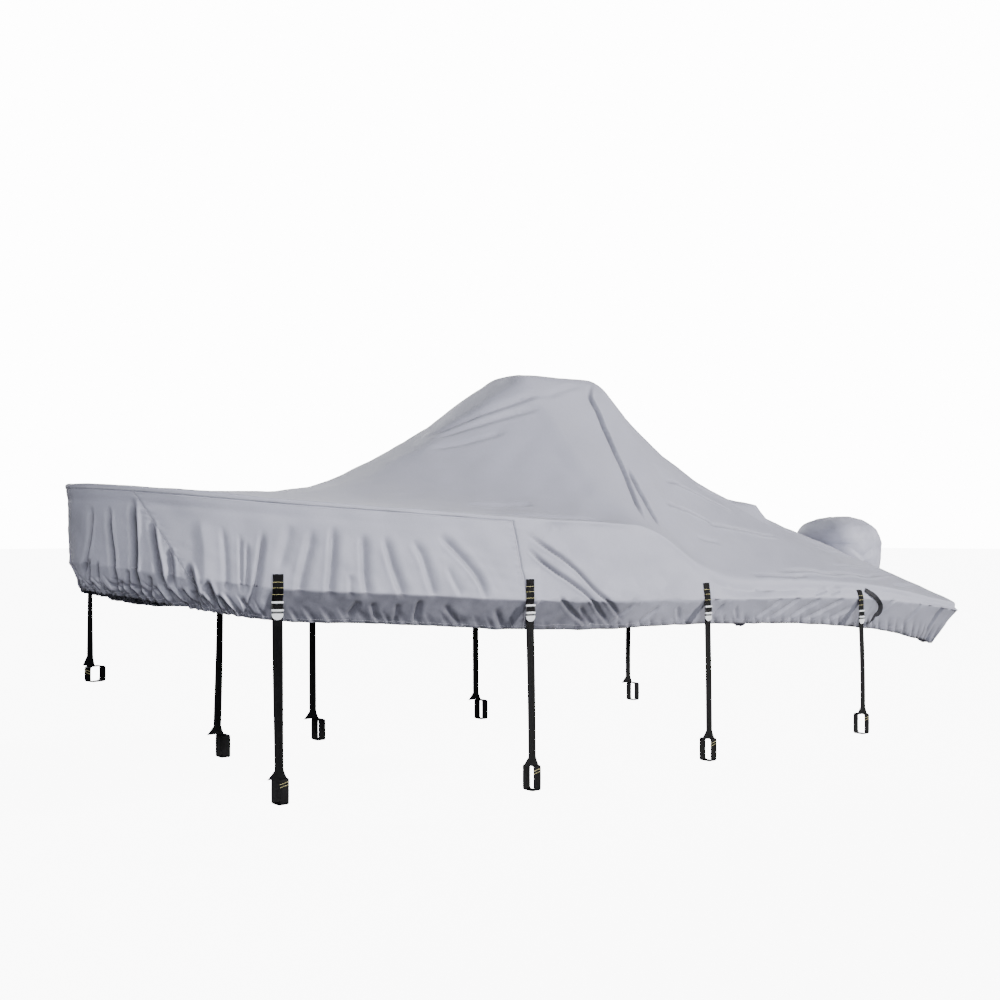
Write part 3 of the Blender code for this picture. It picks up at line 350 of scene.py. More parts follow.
drape = {
    "clothThickness": 0.002,
    "railShare": 0.72,          # share of the hanging side above the fold where it turns in
    "rollShare": 0.4, "rollReach": 0.55, "edgeStart": 0.985,
    "shortestDrop": 0.028,
    "peakCrown": 0.002, "peakFall": 0.8,
    "shoulder": 0.030, "narrowCrown": 0.35, "narrowSpan": 0.02,
    "hemTurn": 0.25,            # how far ahead and behind the hem looks to turn round a corner
    "insetPower": 1.5,
    "calmLean": 0.06,
    "sternRiseStart": 0.25, "sternRailDrop": 0.045, "sternRailRise": 0.10, "notchDrop": 0.055,
    "railDrop": 0.03,           # the least fall from the top edge to the fold
    "sternCalm": 0.1,
    "hoodHem": -1.363,
    "bowSeam": (-2.835, -2.565),      # x on the top edge, x on the hem
    "sideSeam": (-1.119, -0.995),
    "calmX": -2.11,
    "creaseX": -0.11,
    "sternFoot": 2.445,
    "sternFootPower": 1.7,
    "kneeX": 2.539,             # round the notch the lines of cloth run out to a row of knees, then aft
    "kneeSlope": 0.256,
    "kneeReach": 0.85,
    "kneeBulges": (0.0, 0.368, 0.368, 0.143, 0.072, 0.0),
    "tuckPower": 0.95,
}

# x, top edge, fold where the side turns in, hem
edgeHeights = np.array([
    (-2.98, -0.676, -1.100, -1.182), (-2.85, -0.688, -1.125, -1.214),
    (-2.60, -0.714, -1.180, -1.269), (-2.30, -0.745, -1.237, -1.320),
    (-1.74, -0.788, -1.252, -1.356), (-1.02, -0.839, -1.274, -1.410),
    (-0.25, -0.881, -1.292, -1.445), (-0.10, -0.915, -1.296, -1.447),
    (0.30, -1.095, -1.310, -1.452), (0.62, -1.165, -1.320, -1.468),
    (1.13, -1.205, -1.335, -1.494), (1.74, -1.255, -1.363, -1.546),
    (2.17, -1.310, -1.400, -1.599), (2.60, -1.385, -1.450, -1.678),
    (2.97, -1.450, -1.500, -1.720)])

# x, crown, half-width of the crown, hollow of the slope, radius of the roll, inset of the edge
crossShapes = np.array([
    (-2.98, -0.672, 0.05, 1.60, 0.022, -0.010), (-2.38, -0.699, 0.10, 1.60, 0.022, 0.004),
    (-1.95, -0.705, 0.12, 1.65, 0.022, 0.008), (-1.67, -0.682, 0.13, 1.70, 0.022, 0.010),
    (-1.47, -0.629, 0.14, 1.70, 0.022, 0.010), (-1.28, -0.551, 0.15, 1.65, 0.022, 0.012),
    (-0.86, -0.340, 0.15, 1.50, 0.022, 0.014), (-0.41, -0.065, 0.15, 1.30, 0.024, 0.016),
    (-0.27, 0.000, 0.15, 1.20, 0.024, 0.018), (0.27, 0.003, 0.15, 1.10, 0.085, 0.022),
    (0.52, -0.190, 0.15, 1.05, 0.110, 0.028), (0.96, -0.478, 0.14, 1.03, 0.095, 0.028),
    (1.43, -0.690, 0.14, 1.03, 0.062, 0.020), (1.93, -0.853, 0.13, 1.06, 0.048, 0.018),
    (2.40, -0.985, 0.12, 1.08, 0.044, 0.018), (2.97, -1.140, 0.10, 1.00, 0.040, 0.020)])

# x, how far the hem is drawn in
tucks = np.array([(-2.98, 0.065), (-2.80, 0.078), (-2.40, 0.085), (-1.00, 0.090), (0.80, 0.088),
                  (2.20, 0.100), (2.87, 0.185)])

# x on the edge, x of the foot on the centreline of the same line of cloth
feet = np.array([(-2.98, -2.63), (-2.11, -1.95), (-1.20, -0.75), (-0.80, -0.27), (-0.45, 0.02),
                 (-0.25, 0.26), (-0.175, 0.34), (-0.08, 0.43), (0.69, 0.84), (2.09, 2.06),
                 (2.80, 2.36)])

# the small pointed lift abaft the peak
tent = {"apex": (1.70, -0.24), "height": 0.074, "fore": 0.26, "aft": 0.10, "out": 0.11, "in": 0.20,
        "roundness": 1.5, "power": 1.1}


def readTable(table, index, x):
    # a smooth curve through one column that never overshoots its rows
    xs, ys = table[:, 0], table[:, index]
    steps = np.diff(ys) / np.diff(xs)
    slopes = np.concatenate(([steps[0]], np.zeros(len(steps) - 1), [steps[-1]]))
    same = steps[:-1] * steps[1:] > 0
    total = np.where(same, steps[:-1] + steps[1:], 1.0)
    slopes[1:-1] = np.where(same, 2 * steps[:-1] * steps[1:] / total, 0.0)
    x = np.clip(x, xs[0], xs[-1])
    i = np.clip(np.searchsorted(xs, x) - 1, 0, len(xs) - 2)
    span = xs[i + 1] - xs[i]
    t = (x - xs[i]) / span
    return ((2 * t ** 3 - 3 * t ** 2 + 1) * ys[i] + (t ** 3 - 2 * t ** 2 + t) * span * slopes[i]
            + (3 * t ** 2 - 2 * t ** 3) * ys[i + 1] + (t ** 3 - t ** 2) * span * slopes[i + 1])


def smoothStep(t):
    t = np.clip(t, 0.0, 1.0)
    return t * t * (3 - 2 * t)


def unit(vectors):
    return vectors / np.maximum(np.linalg.norm(vectors, axis=-1, keepdims=True), 1e-12)


def halfBeamAt(x):
    nose = np.clip(1 - (x - coverPlan["tipX"]) / coverPlan["noseLength"], 0.0, 1.0)
    rounded = coverPlan["halfBeam"] * (1 - nose ** coverPlan["nosePower"]) ** coverPlan["noseFullness"]
    start = coverPlan["tipX"] + coverPlan["noseLength"]
    along = np.clip((x - start) / (coverPlan["sternX"] - start), 0.0, 1.0)
    straight = coverPlan["halfBeam"] + (coverPlan["sternHalfBeam"] - coverPlan["halfBeam"]) * along
    return np.where(x < start, rounded, straight)


def roundCorner(before, corner, after, radius, steps=24):
    toBefore, toAfter = unit(before - corner), unit(after - corner)
    half = math.acos(float(toBefore @ toAfter)) / 2
    centre = corner + unit(toBefore + toAfter) * radius / math.sin(half)
    start = corner + toBefore * radius / math.tan(half) - centre
    end = corner + toAfter * radius / math.tan(half) - centre
    turn = math.atan2(start[0] * end[1] - start[1] * end[0], float(start @ end))
    angles = turn * np.arange(steps + 1) / steps
    return [centre + np.array((start[0] * math.cos(a) - start[1] * math.sin(a),
                               start[0] * math.sin(a) + start[1] * math.cos(a))) for a in angles]


def portOutline():
    angles = np.radians(90) * np.arange(coverPlan["noseSteps"] + 1) / coverPlan["noseSteps"]
    reach = 1 - np.cos(angles) ** (2 / coverPlan["nosePower"])
    x = coverPlan["tipX"] + coverPlan["noseLength"] * reach
    y = -coverPlan["halfBeam"] * np.sin(angles) ** (2 * coverPlan["noseFullness"])
    points = list(np.stack([x, y], -1))
    corners = [points[-1], np.array((coverPlan["sternX"], -coverPlan["sternHalfBeam"])),
               np.array((coverPlan["sternX"], -coverPlan["notchHalf"])),
               np.array((coverPlan["notchX"], -coverPlan["notchHalf"])),
               np.array((coverPlan["notchX"], 0.0))]
    radii = (None, coverPlan["cornerRadius"], coverPlan["notchRadius"], coverPlan["notchRadius"])
    for i in range(1, 4):
        points += roundCorner(corners[i - 1], corners[i], corners[i + 1], radii[i])
    return np.array(points + [corners[-1]])


planPoints = portOutline()
planRun = np.concatenate(([0.0], np.cumsum(np.linalg.norm(np.diff(planPoints, axis=0), axis=1))))
wholeRun = float(planRun[-1])
sideEnd = int(np.argmax(planPoints[:, 0] > coverPlan["sternX"] - coverPlan["cornerRadius"] - 0.005)) + 1


def runAt(x):
    # distance round the outline from the tip to the side's point at x
    return float(np.interp(x, planPoints[:sideEnd, 0], planRun[:sideEnd]))


def planAt(run):
    return np.stack([np.interp(run, planRun, planPoints[:, 0]),
                     np.interp(run, planRun, planPoints[:, 1])], -1)


def planNormal(run, reach=0.02):
    ahead = planAt(np.minimum(run + reach, 2 * wholeRun - run - reach))
    ahead[..., 1] *= np.where(run + reach > wholeRun, -1.0, 1.0)
    behind = planAt(np.abs(run - reach))
    behind[..., 1] *= np.where(run < reach, -1.0, 1.0)
    along = unit(ahead - behind)
    return np.stack([along[..., 1], -along[..., 0]], -1)


marks = {
    "corner": runAt(coverPlan["sternX"] - coverPlan["cornerRadius"] - 0.02),
    "bowSeam": runAt(drape["bowSeam"][0]), "bowSeamHem": runAt(drape["bowSeam"][1]),
    "sideSeam": runAt(drape["sideSeam"][0]), "sideSeamHem": runAt(drape["sideSeam"][1]),
    "crease": runAt(drape["creaseX"]),
}
notchBend = math.radians(90) * coverPlan["notchRadius"]
marks["notch"] = wholeRun - (coverPlan["notchHalf"] - coverPlan["notchRadius"])
marks["notchSide"] = marks["notch"] - notchBend
marks["notchMouth"] = marks["notchSide"] - (coverPlan["sternX"] - coverPlan["notchX"]
                                            - 2 * coverPlan["notchRadius"])
marks["transomEnd"] = marks["notchMouth"] - notchBend


def leaned(run, down):
    # the cloth's lines lean aft on their way down, as its seams do
    places = (0.0, marks["bowSeam"], runAt(drape["calmX"]), marks["sideSeam"], marks["crease"], wholeRun)
    leans = (0.0, marks["bowSeamHem"] - marks["bowSeam"], drape["calmLean"],
             marks["sideSeamHem"] - marks["sideSeam"], 0.0, 0.0)
    return run + np.interp(run, places, leans) * down


def tentLift(x, y):
    dx, dy = x - tent["apex"][0], y - tent["apex"][1]
    along = np.where(dx > 0, dx / tent["aft"], -dx / tent["fore"])
    across = np.where(dy > 0, dy / tent["in"], -dy / tent["out"])
    power = tent["roundness"]
    reach = (np.abs(along) ** power + np.abs(across) ** power) ** (1 / power)
    return tent["height"] * np.maximum(0.0, 1 - reach) ** tent["power"]


def insetAt(x):
    return readTable(crossShapes, 5, x) + drape["rollShare"] * readTable(crossShapes, 4, x)


def topHeight(x, y):
    edge = readTable(edgeHeights, 1, x)
    crown = readTable(crossShapes, 1, x)
    span = np.maximum(halfBeamAt(np.minimum(x, coverPlan["sternX"])) - insetAt(x), drape["narrowSpan"])
    flat = np.minimum(readTable(crossShapes, 2, x), drape["narrowCrown"] * span)
    beyond = (np.abs(y) - flat) / drape["shoulder"]
    past = drape["shoulder"] * (np.log1p(np.exp(-np.abs(beyond))) + np.maximum(beyond, 0.0))
    share = np.minimum(past / (span - flat), 1.0)
    crowned = drape["peakCrown"] * (1 - np.minimum(np.abs(y) / np.maximum(flat, 0.01), 1.0) ** 2)
    rise = (1 - share) ** readTable(crossShapes, 3, x) + crowned / drape["peakFall"]
    return edge + (crown - edge) * rise + tentLift(x, y)


def footAt(run):
    side = readTable(feet, 1, planAt(run)[..., 0])
    share = np.clip((run - marks["corner"]) / (wholeRun - marks["corner"]), 0.0, 1.0)
    stern = feet[-1, 1] + (drape["sternFoot"] - feet[-1, 1]) * share ** drape["sternFootPower"]
    return np.where(run <= marks["corner"], side, stern)


def topPoint(run, share):
    edge = planAt(run)
    outer = edge - planNormal(run) * insetAt(edge[..., 0])[..., None]
    foot = np.stack([footAt(run), np.zeros_like(run)], -1)
    places = [marks[name] for name in ("corner", "transomEnd", "notchMouth", "notchSide", "notch")]
    away = np.abs(outer[..., 1]) + np.interp(run, places + [wholeRun], drape["kneeBulges"])
    knee = np.stack([np.minimum(outer[..., 0], drape["kneeX"] + drape["kneeSlope"] * away), -away], -1)
    turned = smoothStep((run - marks["corner"]) / drape["kneeReach"])
    turned = turned * smoothStep((wholeRun - run) / (wholeRun - marks["notch"]))
    middle = (foot + outer) / 2
    bend = middle + (knee - middle) * turned[..., None]
    t = share[..., None]
    plan = foot * (1 - t) ** 2 + bend * 2 * t * (1 - t) + outer * t ** 2
    return np.concatenate([plan, topHeight(plan[..., 0], plan[..., 1])[..., None]], -1)


def sternRise(run):
    start = marks["corner"] + drape["sternRiseStart"]
    return smoothStep((run - start) / (marks["transomEnd"] - start))


def dropPoint(topRun, down):
    return hangPoint(np.clip(leaned(topRun, down), 0.0, wholeRun), down)


def hangPoint(run, down):
    # a place on the hanging side, by its distance round from the tip and its share of the drop
    point = planAt(run)
    x = point[..., 0]
    edgeZ = topPoint(run, np.ones_like(run))[..., 2]
    startZ = edgeZ - readTable(crossShapes, 4, x)
    aft = run > marks["corner"]
    rail = readTable(edgeHeights, 2, x)
    risen = np.minimum(rail, edgeZ - drape["sternRailDrop"]) + drape["sternRailRise"] * sternRise(run)
    rail = np.minimum(np.where(aft, risen, rail), edgeZ - drape["railDrop"])
    low = edgeHeights[-1, 3]
    hem = readTable(edgeHeights, 3, x)
    sternHem = low + (drape["hoodHem"] - low) * sternRise(run)
    into = smoothStep((run - marks["transomEnd"]) / (marks["notch"] - marks["transomEnd"]))
    hem = np.where(aft, sternHem + (edgeZ - drape["notchDrop"] - sternHem) * into, hem)
    hem = np.minimum(hem, startZ - drape["shortestDrop"])
    rail = np.minimum(rail, startZ - drape["railShare"] * drape["shortestDrop"])
    rail = np.maximum(rail, startZ + (hem - startZ) * drape["railShare"])
    share = drape["railShare"]
    above = np.clip(down / share, 0.0, 1.0)
    below = np.clip((down - share) / (1 - share), 0.0, 1.0)
    calm = smoothStep((run - marks["transomEnd"] + drape["sternCalm"]) / drape["sternCalm"])
    tuck = np.where(aft, tucks[-1, 1] * (1 - calm), readTable(tucks, 1, x))
    turn = drape["hemTurn"]
    cornerEnd = marks["corner"] + math.radians(90) * coverPlan["cornerRadius"]
    rounder = smoothStep((run - marks["corner"] + turn) / turn)
    rounder = rounder * smoothStep((cornerEnd + turn - run) / turn)
    out = planNormal(run)
    hemOut = unit(out + (planNormal(run, turn) - out) * rounder[..., None])
    plan = point - out * (readTable(crossShapes, 5, x) * (1 - above) ** drape["insetPower"])[..., None]
    plan = plan - hemOut * (tuck * below ** drape["tuckPower"])[..., None]
    z = startZ + (rail - startZ) * above + (hem - rail) * below
    return np.concatenate([plan, z[..., None]], -1)


def coverPoint(run, across):
    # across runs 0 to 1 over the top, to 2 round the edge, to 3 down the hanging side
    run, across = np.broadcast_arrays(np.clip(run, 0.0, wholeRun), across)
    one = np.ones_like(run)
    top = topPoint(run, np.clip(across, 0.0, 1.0))
    drop = dropPoint(run, np.clip(across - 2.0, 0.0, 1.0))
    start, end = topPoint(run, one), dropPoint(run, 0 * one)
    near = topPoint(run, drape["edgeStart"] * one)
    reach = np.linalg.norm(end - start, axis=-1, keepdims=True) * drape["rollReach"]
    leave = start + unit(start - near) * reach
    arrive = end + np.array((0.0, 0.0, 1.0)) * reach
    t = np.clip(across - 1.0, 0.0, 1.0)[..., None]
    roll = (start * (1 - t) ** 3 + leave * 3 * (1 - t) ** 2 * t + arrive * 3 * (1 - t) * t ** 2
            + end * t ** 3)
    level = across[..., None]
    return np.where(level <= 1.0, top, np.where(level < 2.0, roll, drop))


def coverNormal(run, across, step=0.004):
    ahead = coverPoint(np.minimum(run + step, wholeRun), across)
    behind = coverPoint(np.maximum(run - step, 0.0), across)
    outer = coverPoint(run, np.minimum(across + step, 3.0))
    inner = coverPoint(run, np.maximum(across - step, 0.0))
    normal = np.cross(outer - inner, ahead - behind)
    x, y = np.moveaxis(coverPoint(run, across)[..., :2], -1, 0)
    up = np.stack([(topHeight(x - step, y) - topHeight(x + step, y)) / (2 * step),
                   (topHeight(x, y - step) - topHeight(x, y + step)) / (2 * step), np.ones_like(x)], -1)
    normal = np.where((across <= 1.0)[..., None], up, normal)
    normal[..., 1] *= np.where((run < 1e-6) | (run > wholeRun - 1e-6) | (across < 1e-6), 0.0, 1.0)
    return unit(normal)


# Folds. Each one is a soft trough along a line of places on the cloth, with a lip on one side:
# places, width, depth, lip. On the hanging side a place is a distance round from the tip and a
# share of the drop; on the top it is x and y.

bowFolds = [
    ([(0.140, 0.15), (0.130, 0.39), (0.093, 0.69), (0.015, 0.88)], 0.011, 0.023, -0.4),
    ([(0.127, 0.66), (0.069, 0.89), (0.059, 1.0)], 0.008, 0.024, -0.5),
    ([(0.176, 0.68), (0.133, 0.89)], 0.007, 0.016, -0.4),
    ([(0.236, 0.14), (0.246, 0.46), (0.255, 0.75), (0.227, 1.0)], 0.011, 0.036, -0.6),
    ([(0.272, 0.84), (0.276, 1.0)], 0.007, 0.023, -0.5),
    ([(0.330, 0.72), (0.302, 0.97)], 0.007, 0.022, -0.5),
    ([(0.359, 0.04), (0.363, 0.36), (0.367, 0.63), (0.362, 0.91), (0.385, 1.0)], 0.012, 0.046, -0.6),
    ([(0.440, 0.74), (0.411, 0.99)], 0.007, 0.024, -0.5),
    ([(0.445, 0.23), (0.463, 0.47), (0.481, 0.64), (0.502, 0.90)], 0.011, 0.036, -0.6),
    ([(0.528, 0.46), (0.541, 0.67), (0.539, 0.84)], 0.011, 0.023, -0.4),
    ([(0.070, 0.86), (0.100, 1.0)], 0.008, 0.020, -0.6),
    ([(0.131, 0.88), (0.205, 1.0)], 0.011, 0.028, -0.7),
    ([(0.310, 0.90), (0.345, 1.0)], 0.009, 0.024, -0.6),
    ([(0.440, 0.86), (0.500, 1.0)], 0.012, 0.034, -0.8),
    ([(0.500, 0.85), (0.612, 1.0)], 0.013, 0.038, -0.8),
]

sideFolds = [
    ([(0.615, 0.58), (0.643, 0.80), (0.655, 0.93), (0.675, 1.0)], 0.0120, 0.036, -0.7),
    ([(0.570, 0.82), (0.650, 1.0)], 0.0120, 0.027, -0.8),
    ([(0.660, 0.84), (0.722, 1.0)], 0.0110, 0.024, -0.7),
    ([(0.700, 0.70), (0.732, 0.91), (0.766, 1.0)], 0.0110, 0.030, -0.7),
    ([(0.735, 0.84), (0.835, 1.0)], 0.0120, 0.027, -0.8),
    ([(0.668, 0.16), (0.690, 0.46), (0.694, 0.80)], 0.030, -0.010, 0.2),
    ([(0.769, 0.22), (0.783, 0.53), (0.786, 0.84)], 0.013, 0.010, 0.2),
    ([(0.851, 0.28), (0.855, 0.80)], 0.009, 0.010, 0.2),
    ([(0.884, 0.34), (0.878, 0.80)], 0.009, 0.010, 0.2),
    ([(0.862, 0.82), (0.881, 1.0)], 0.007, 0.014, 0.2),
    ([(0.900, 0.80), (0.872, 1.0)], 0.007, 0.014, 0.2),
    ([(0.958, 0.22), (0.933, 0.58), (0.915, 0.77), (0.898, 1.0)], 0.013, 0.020, 0.2),
    ([(1.090, 0.16), (1.052, 0.41), (1.020, 0.68)], 0.025, 0.015, 0.2),
    ([(1.195, 0.18), (1.150, 0.49), (1.113, 0.80)], 0.020, 0.018, 0.2),
    ([(1.291, 0.14), (1.278, 0.45), (1.263, 0.80)], 0.019, 0.023, 0.2),
    ([(1.367, 0.56), (1.371, 0.78)], 0.013, 0.009, 0.2),
    ([(1.434, 0.20), (1.439, 0.55), (1.455, 0.78)], 0.019, 0.022, 0.2),
    ([(1.536, 0.20), (1.576, 0.45), (1.610, 0.62), (1.644, 0.78)], 0.019, 0.022, 0.2),
    ([(1.679, 0.22), (1.734, 0.38), (1.773, 0.58), (1.810, 0.76)], 0.019, 0.018, 0.2),
    ([(1.863, 0.44), (1.894, 0.55), (1.953, 0.72)], 0.016, 0.010, 0.2),
    ([(1.816, 0.17), (1.910, 0.30), (1.998, 0.45), (2.065, 0.60), (2.093, 0.76)], 0.017, 0.022, 0.2),
    ([(1.372, 0.96), (1.425, 0.80)], 0.014, 0.017, 0.2),
    ([(1.478, 0.80), (1.522, 0.97)], 0.013, 0.013, 0.2),
    ([(1.614, 0.80), (1.620, 1.0)], 0.013, 0.015, 0.2),
    ([(1.726, 0.76), (1.726, 1.0)], 0.014, 0.020, 0.2),
    ([(1.856, 0.80), (1.992, 1.0)], 0.014, 0.015, 0.2),
    ([(2.150, 0.80), (2.236, 1.0)], 0.016, 0.014, 0.2),
    ([(2.342, 0.82), (2.321, 1.0)], 0.014, 0.013, 0.2),
]

afterFolds = [
    ([(2.316, 0.22), (2.489, 0.42), (2.707, 0.64), (2.847, 0.83), (2.970, 0.97)], 0.009, 0.024, 0.8),
    ([(2.311, 0.09), (2.611, 0.37), (2.759, 0.58), (2.877, 0.72), (3.075, 0.95)], 0.009, 0.020, 0.8),
    ([(2.527, 0.68), (2.650, 0.83), (2.793, 0.96)], 0.010, 0.022, 0.7),
    ([(2.680, 0.76), (2.761, 0.88), (2.856, 0.98)], 0.011, 0.013, 0.5),
    ([(2.944, 0.98), (3.027, 0.84), (3.079, 0.76)], 0.012, 0.011, 0.6),
    ([(3.172, 0.98), (3.300, 0.78)], 0.013, 0.011, 0.5),
    ([(3.44, 0.78), (3.52, 0.98)], 0.012, 0.010, 0.5),
    ([(3.84, 0.76), (3.78, 0.98)], 0.011, 0.011, 0.5),
    ([(3.94, 0.80), (4.02, 0.97)], 0.011, 0.010, 0.5),
    ([(4.17, 0.94), (4.36, 0.72)], 0.012, 0.013, 0.6),
    ([(4.28, 0.97), (4.54, 0.70)], 0.013, 0.015, 0.6),
    ([(4.46, 0.98), (4.74, 0.72)], 0.013, 0.015, 0.6),
    ([(4.62, 0.98), (4.98, 0.72)], 0.013, 0.017, 0.6),
    ([(4.86, 0.98), (5.13, 0.76)], 0.013, 0.013, 0.6),
    ([(4.66, 0.50), (4.81, 0.06)], 0.012, 0.009, 0.4),
    ([(4.82, 0.46), (4.95, 0.04)], 0.012, 0.008, 0.4),
    ([(5.35, 0.96), (5.56, 0.60)], 0.013, 0.011, 0.5),
    ([(5.70, 0.97), (5.86, 0.64)], 0.013, 0.011, 0.5),
    ([(6.05, 0.95), (6.12, 0.45)], 0.013, 0.013, 0.5),
    ([(6.45, 0.94), (6.36, 0.40)], 0.013, 0.013, 0.5),
    ([(6.80, 0.90), (6.74, 0.35)], 0.013, 0.011, 0.5),
]

topFolds = [
    ([(0.285, -0.13), (0.155, -0.23), (0.14, -0.31), (0.12, -0.41), (0.09, -0.51), (0.055, -0.64),
      (-0.02, -0.79), (-0.11, -0.95)], 0.013, 0.021, -0.9),
    ([(0.13, -0.56), (0.115, -0.68), (0.09, -0.78), (0.05, -0.91)], 0.013, 0.023, -0.7),
    ([(-1.00, -0.06), (-0.72, -0.16), (-0.50, -0.22), (-0.20, -0.27)], 0.020, 0.014, 0.5),
    ([(-1.02, -0.11), (-0.74, -0.21), (-0.56, -0.26), (-0.30, -0.32)], 0.019, 0.013, 0.5),
    ([(-1.06, -0.18), (-0.82, -0.27), (-0.58, -0.33)], 0.018, 0.009, 0.4),
    ([(-0.24, -0.27), (0.14, -0.17)], 0.019, 0.007, 0.4),
    ([(-1.20, -0.70), (-0.78, -0.79)], 0.017, 0.014, 0.5),
    ([(-1.26, -0.87), (-0.80, -0.94), (-0.44, -1.00)], 0.020, 0.019, 0.4),
    ([(0.50, -0.52), (0.73, -0.45), (1.02, -0.41), (1.31, -0.41)], 0.010, 0.022, 0.7),
    ([(0.30, -0.71), (0.54, -0.65), (0.80, -0.65)], 0.010, 0.019, 0.7),
    ([(0.46, -0.81), (0.70, -0.79)], 0.013, 0.009, 0.4),
    ([(0.70, -0.68), (1.08, -0.62), (1.30, -0.60), (1.54, -0.55)], 0.011, 0.025, 0.8),
    ([(1.02, -0.30), (1.30, -0.24), (1.55, -0.20)], 0.017, 0.023, 0.6),
    ([(1.86, -0.30), (2.30, -0.36), (2.62, -0.42)], 0.014, 0.020, 0.6),
    ([(1.94, -0.50), (2.19, -0.46), (2.68, -0.34)], 0.011, 0.018, 0.6),
    ([(1.76, -0.79), (2.12, -0.71), (2.80, -0.46)], 0.012, 0.022, 0.7),
    ([(1.00, -0.95), (1.35, -0.92), (1.60, -0.93), (1.85, -0.88), (2.12, -0.85), (2.55, -0.66),
      (2.88, -0.52)], 0.014, 0.030, 0.8),
    ([(0.72, -0.98), (1.05, -0.99), (1.32, -0.97)], 0.012, 0.022, 0.6),
    ([(2.30, -0.92), (2.62, -0.80), (2.88, -0.72)], 0.018, 0.023, 0.5),
]


def smoothPath(points, count):
    # an even Catmull-Rom curve through the points
    points = np.asarray(points, float)
    ends = np.vstack([2 * points[0] - points[1], points, 2 * points[-1] - points[-2]])
    places = np.linspace(0, len(points) - 1, count)
    i = np.minimum(places.astype(int), len(points) - 2)
    t = (places - i)[:, None]
    a, b, c, d = ends[i], ends[i + 1], ends[i + 2], ends[i + 3]
    return 0.5 * (2 * b + (c - a) * t + (2 * a - 5 * b + 4 * c - d) * t ** 2
                  + (3 * b - a - 3 * c + d) * t ** 3)


foldLook = {
    "reach": 4.6,                    # how far a fold is felt, in its widths
    "lipSide": 0.9, "openSide": 1.3,            # its breadth on either side
    "lipPlace": 1.8, "lipSpread": 0.85, "lipLeast": 0.08, "lipMost": 0.42,
    "fadeIn": 0.22, "fadeOut": 0.18,
    "fullShadeDepth": 2.2,               # depth over width at which the painted shade in a fold's bottom is full
    # how tightly the painted shade keeps to a fold's bottom
    "shadeSpread": 0.95,
    "shift": 0.03, "shallower": -0.3, "deeper": 0.15,          # the starboard side's unevenness
}


def foldLines(side):
    # every fold as places in space. Starboard has its own unevenness
    chance = np.random.default_rng(20 + side)
    uneven = 0.0 if side < 0 else 1.0
    lines = []
    for table, hanging in ((bowFolds, True), (sideFolds, True), (afterFolds, True), (topFolds, False)):
        for places, width, depth, lip in table:
            path = smoothPath(places, 4 * len(places) + 1)
            shift = chance.normal(0, foldLook["shift"]) * uneven
            depth *= 1 + chance.uniform(foldLook["shallower"], foldLook["deeper"]) * uneven
            if hanging:
                run = np.clip(path[:, 0] + shift, 0.0, wholeRun)
                space = hangPoint(run, np.clip(path[:, 1], 0.0, 1.0))
            else:
                plan = path + np.array((shift, 0.0))
                space = np.column_stack([plan, topHeight(plan[:, 0], plan[:, 1])])
            if side > 0:
                space = space * np.array((1.0, -1.0, 1.0))
            lines.append((space, width, depth, lip * -side))
    return lines


def foldLift(points, normals, lines):
    # how far the folds move each place, and how much painted shade darkens their bottoms
    lift, paintedFoldShade = np.zeros(len(points)), np.zeros(len(points))
    for path, width, depth, lip in lines:
        reach = foldLook["reach"] * width
        inside = (points > path.min(0) - reach) & (points < path.max(0) + reach)
        near = np.flatnonzero(np.all(inside, axis=1))
        if not len(near):
            continue
        here, up = points[near], normals[near]
        best = np.full(len(near), np.inf)
        side = np.zeros(len(near))
        along = np.zeros(len(near))
        lengths = np.linalg.norm(np.diff(path, axis=0), axis=1)
        before = 0.0
        for a, b, length in zip(path, path[1:], lengths):
            t = np.clip((here - a) @ (b - a) / max(length ** 2, 1e-12), 0.0, 1.0)
            gap = here - a - t[:, None] * (b - a)
            distance = np.linalg.norm(gap, axis=1)
            closer = distance < best
            best = np.where(closer, distance, best)
            handed = np.einsum("ij,ij->i", np.cross(b - a, up), gap)
            side = np.where(closer, np.sign(handed), side)
            along = np.where(closer, before + t * length, along)
            before += length
        along = along / before
        taper = smoothStep(along / foldLook["fadeIn"]) * smoothStep((1.0 - along) / foldLook["fadeOut"])
        lipped = side * lip > 0
        q = best / (width * np.where(lipped, foldLook["lipSide"], foldLook["openSide"]))
        raised = foldLook["lipLeast"] + np.where(lipped, foldLook["lipMost"] * abs(lip), 0.0)
        bump = np.exp(-((q - foldLook["lipPlace"]) / foldLook["lipSpread"]) ** 2)
        lift[near] += depth * taper * (raised * bump - np.exp(-q ** 1.5))
        # painted shade: the deeper and narrower the fold, the darker its bottom is painted
        sharpness = min((depth / width / foldLook["fullShadeDepth"]) ** 2, 1.0)
        paintedFoldShade[near] = np.maximum(paintedFoldShade[near], sharpness * taper
                                 * np.exp(-(foldLook["shadeSpread"] * q) ** 2))
    return lift, paintedFoldShade


noiseSpread = (0.6, 1.7)         # the shortest and longest wave of a kind of unevenness


def softNoise(points, seed, wavelength, height, waves=28):
    # smooth unevenness: waves in every direction, each with its own length
    chance = np.random.default_rng(seed)
    directions = unit(chance.normal(size=(waves, 3)))
    numbers = math.tau / (wavelength * chance.uniform(*noiseSpread, waves))
    phases = chance.uniform(0, math.tau, waves)
    total = np.zeros(len(points))
    for direction, number, phase in zip(directions, numbers, phases):
        total += np.sin(points @ direction * number + phase)
    return height * total / math.sqrt(waves / 2)


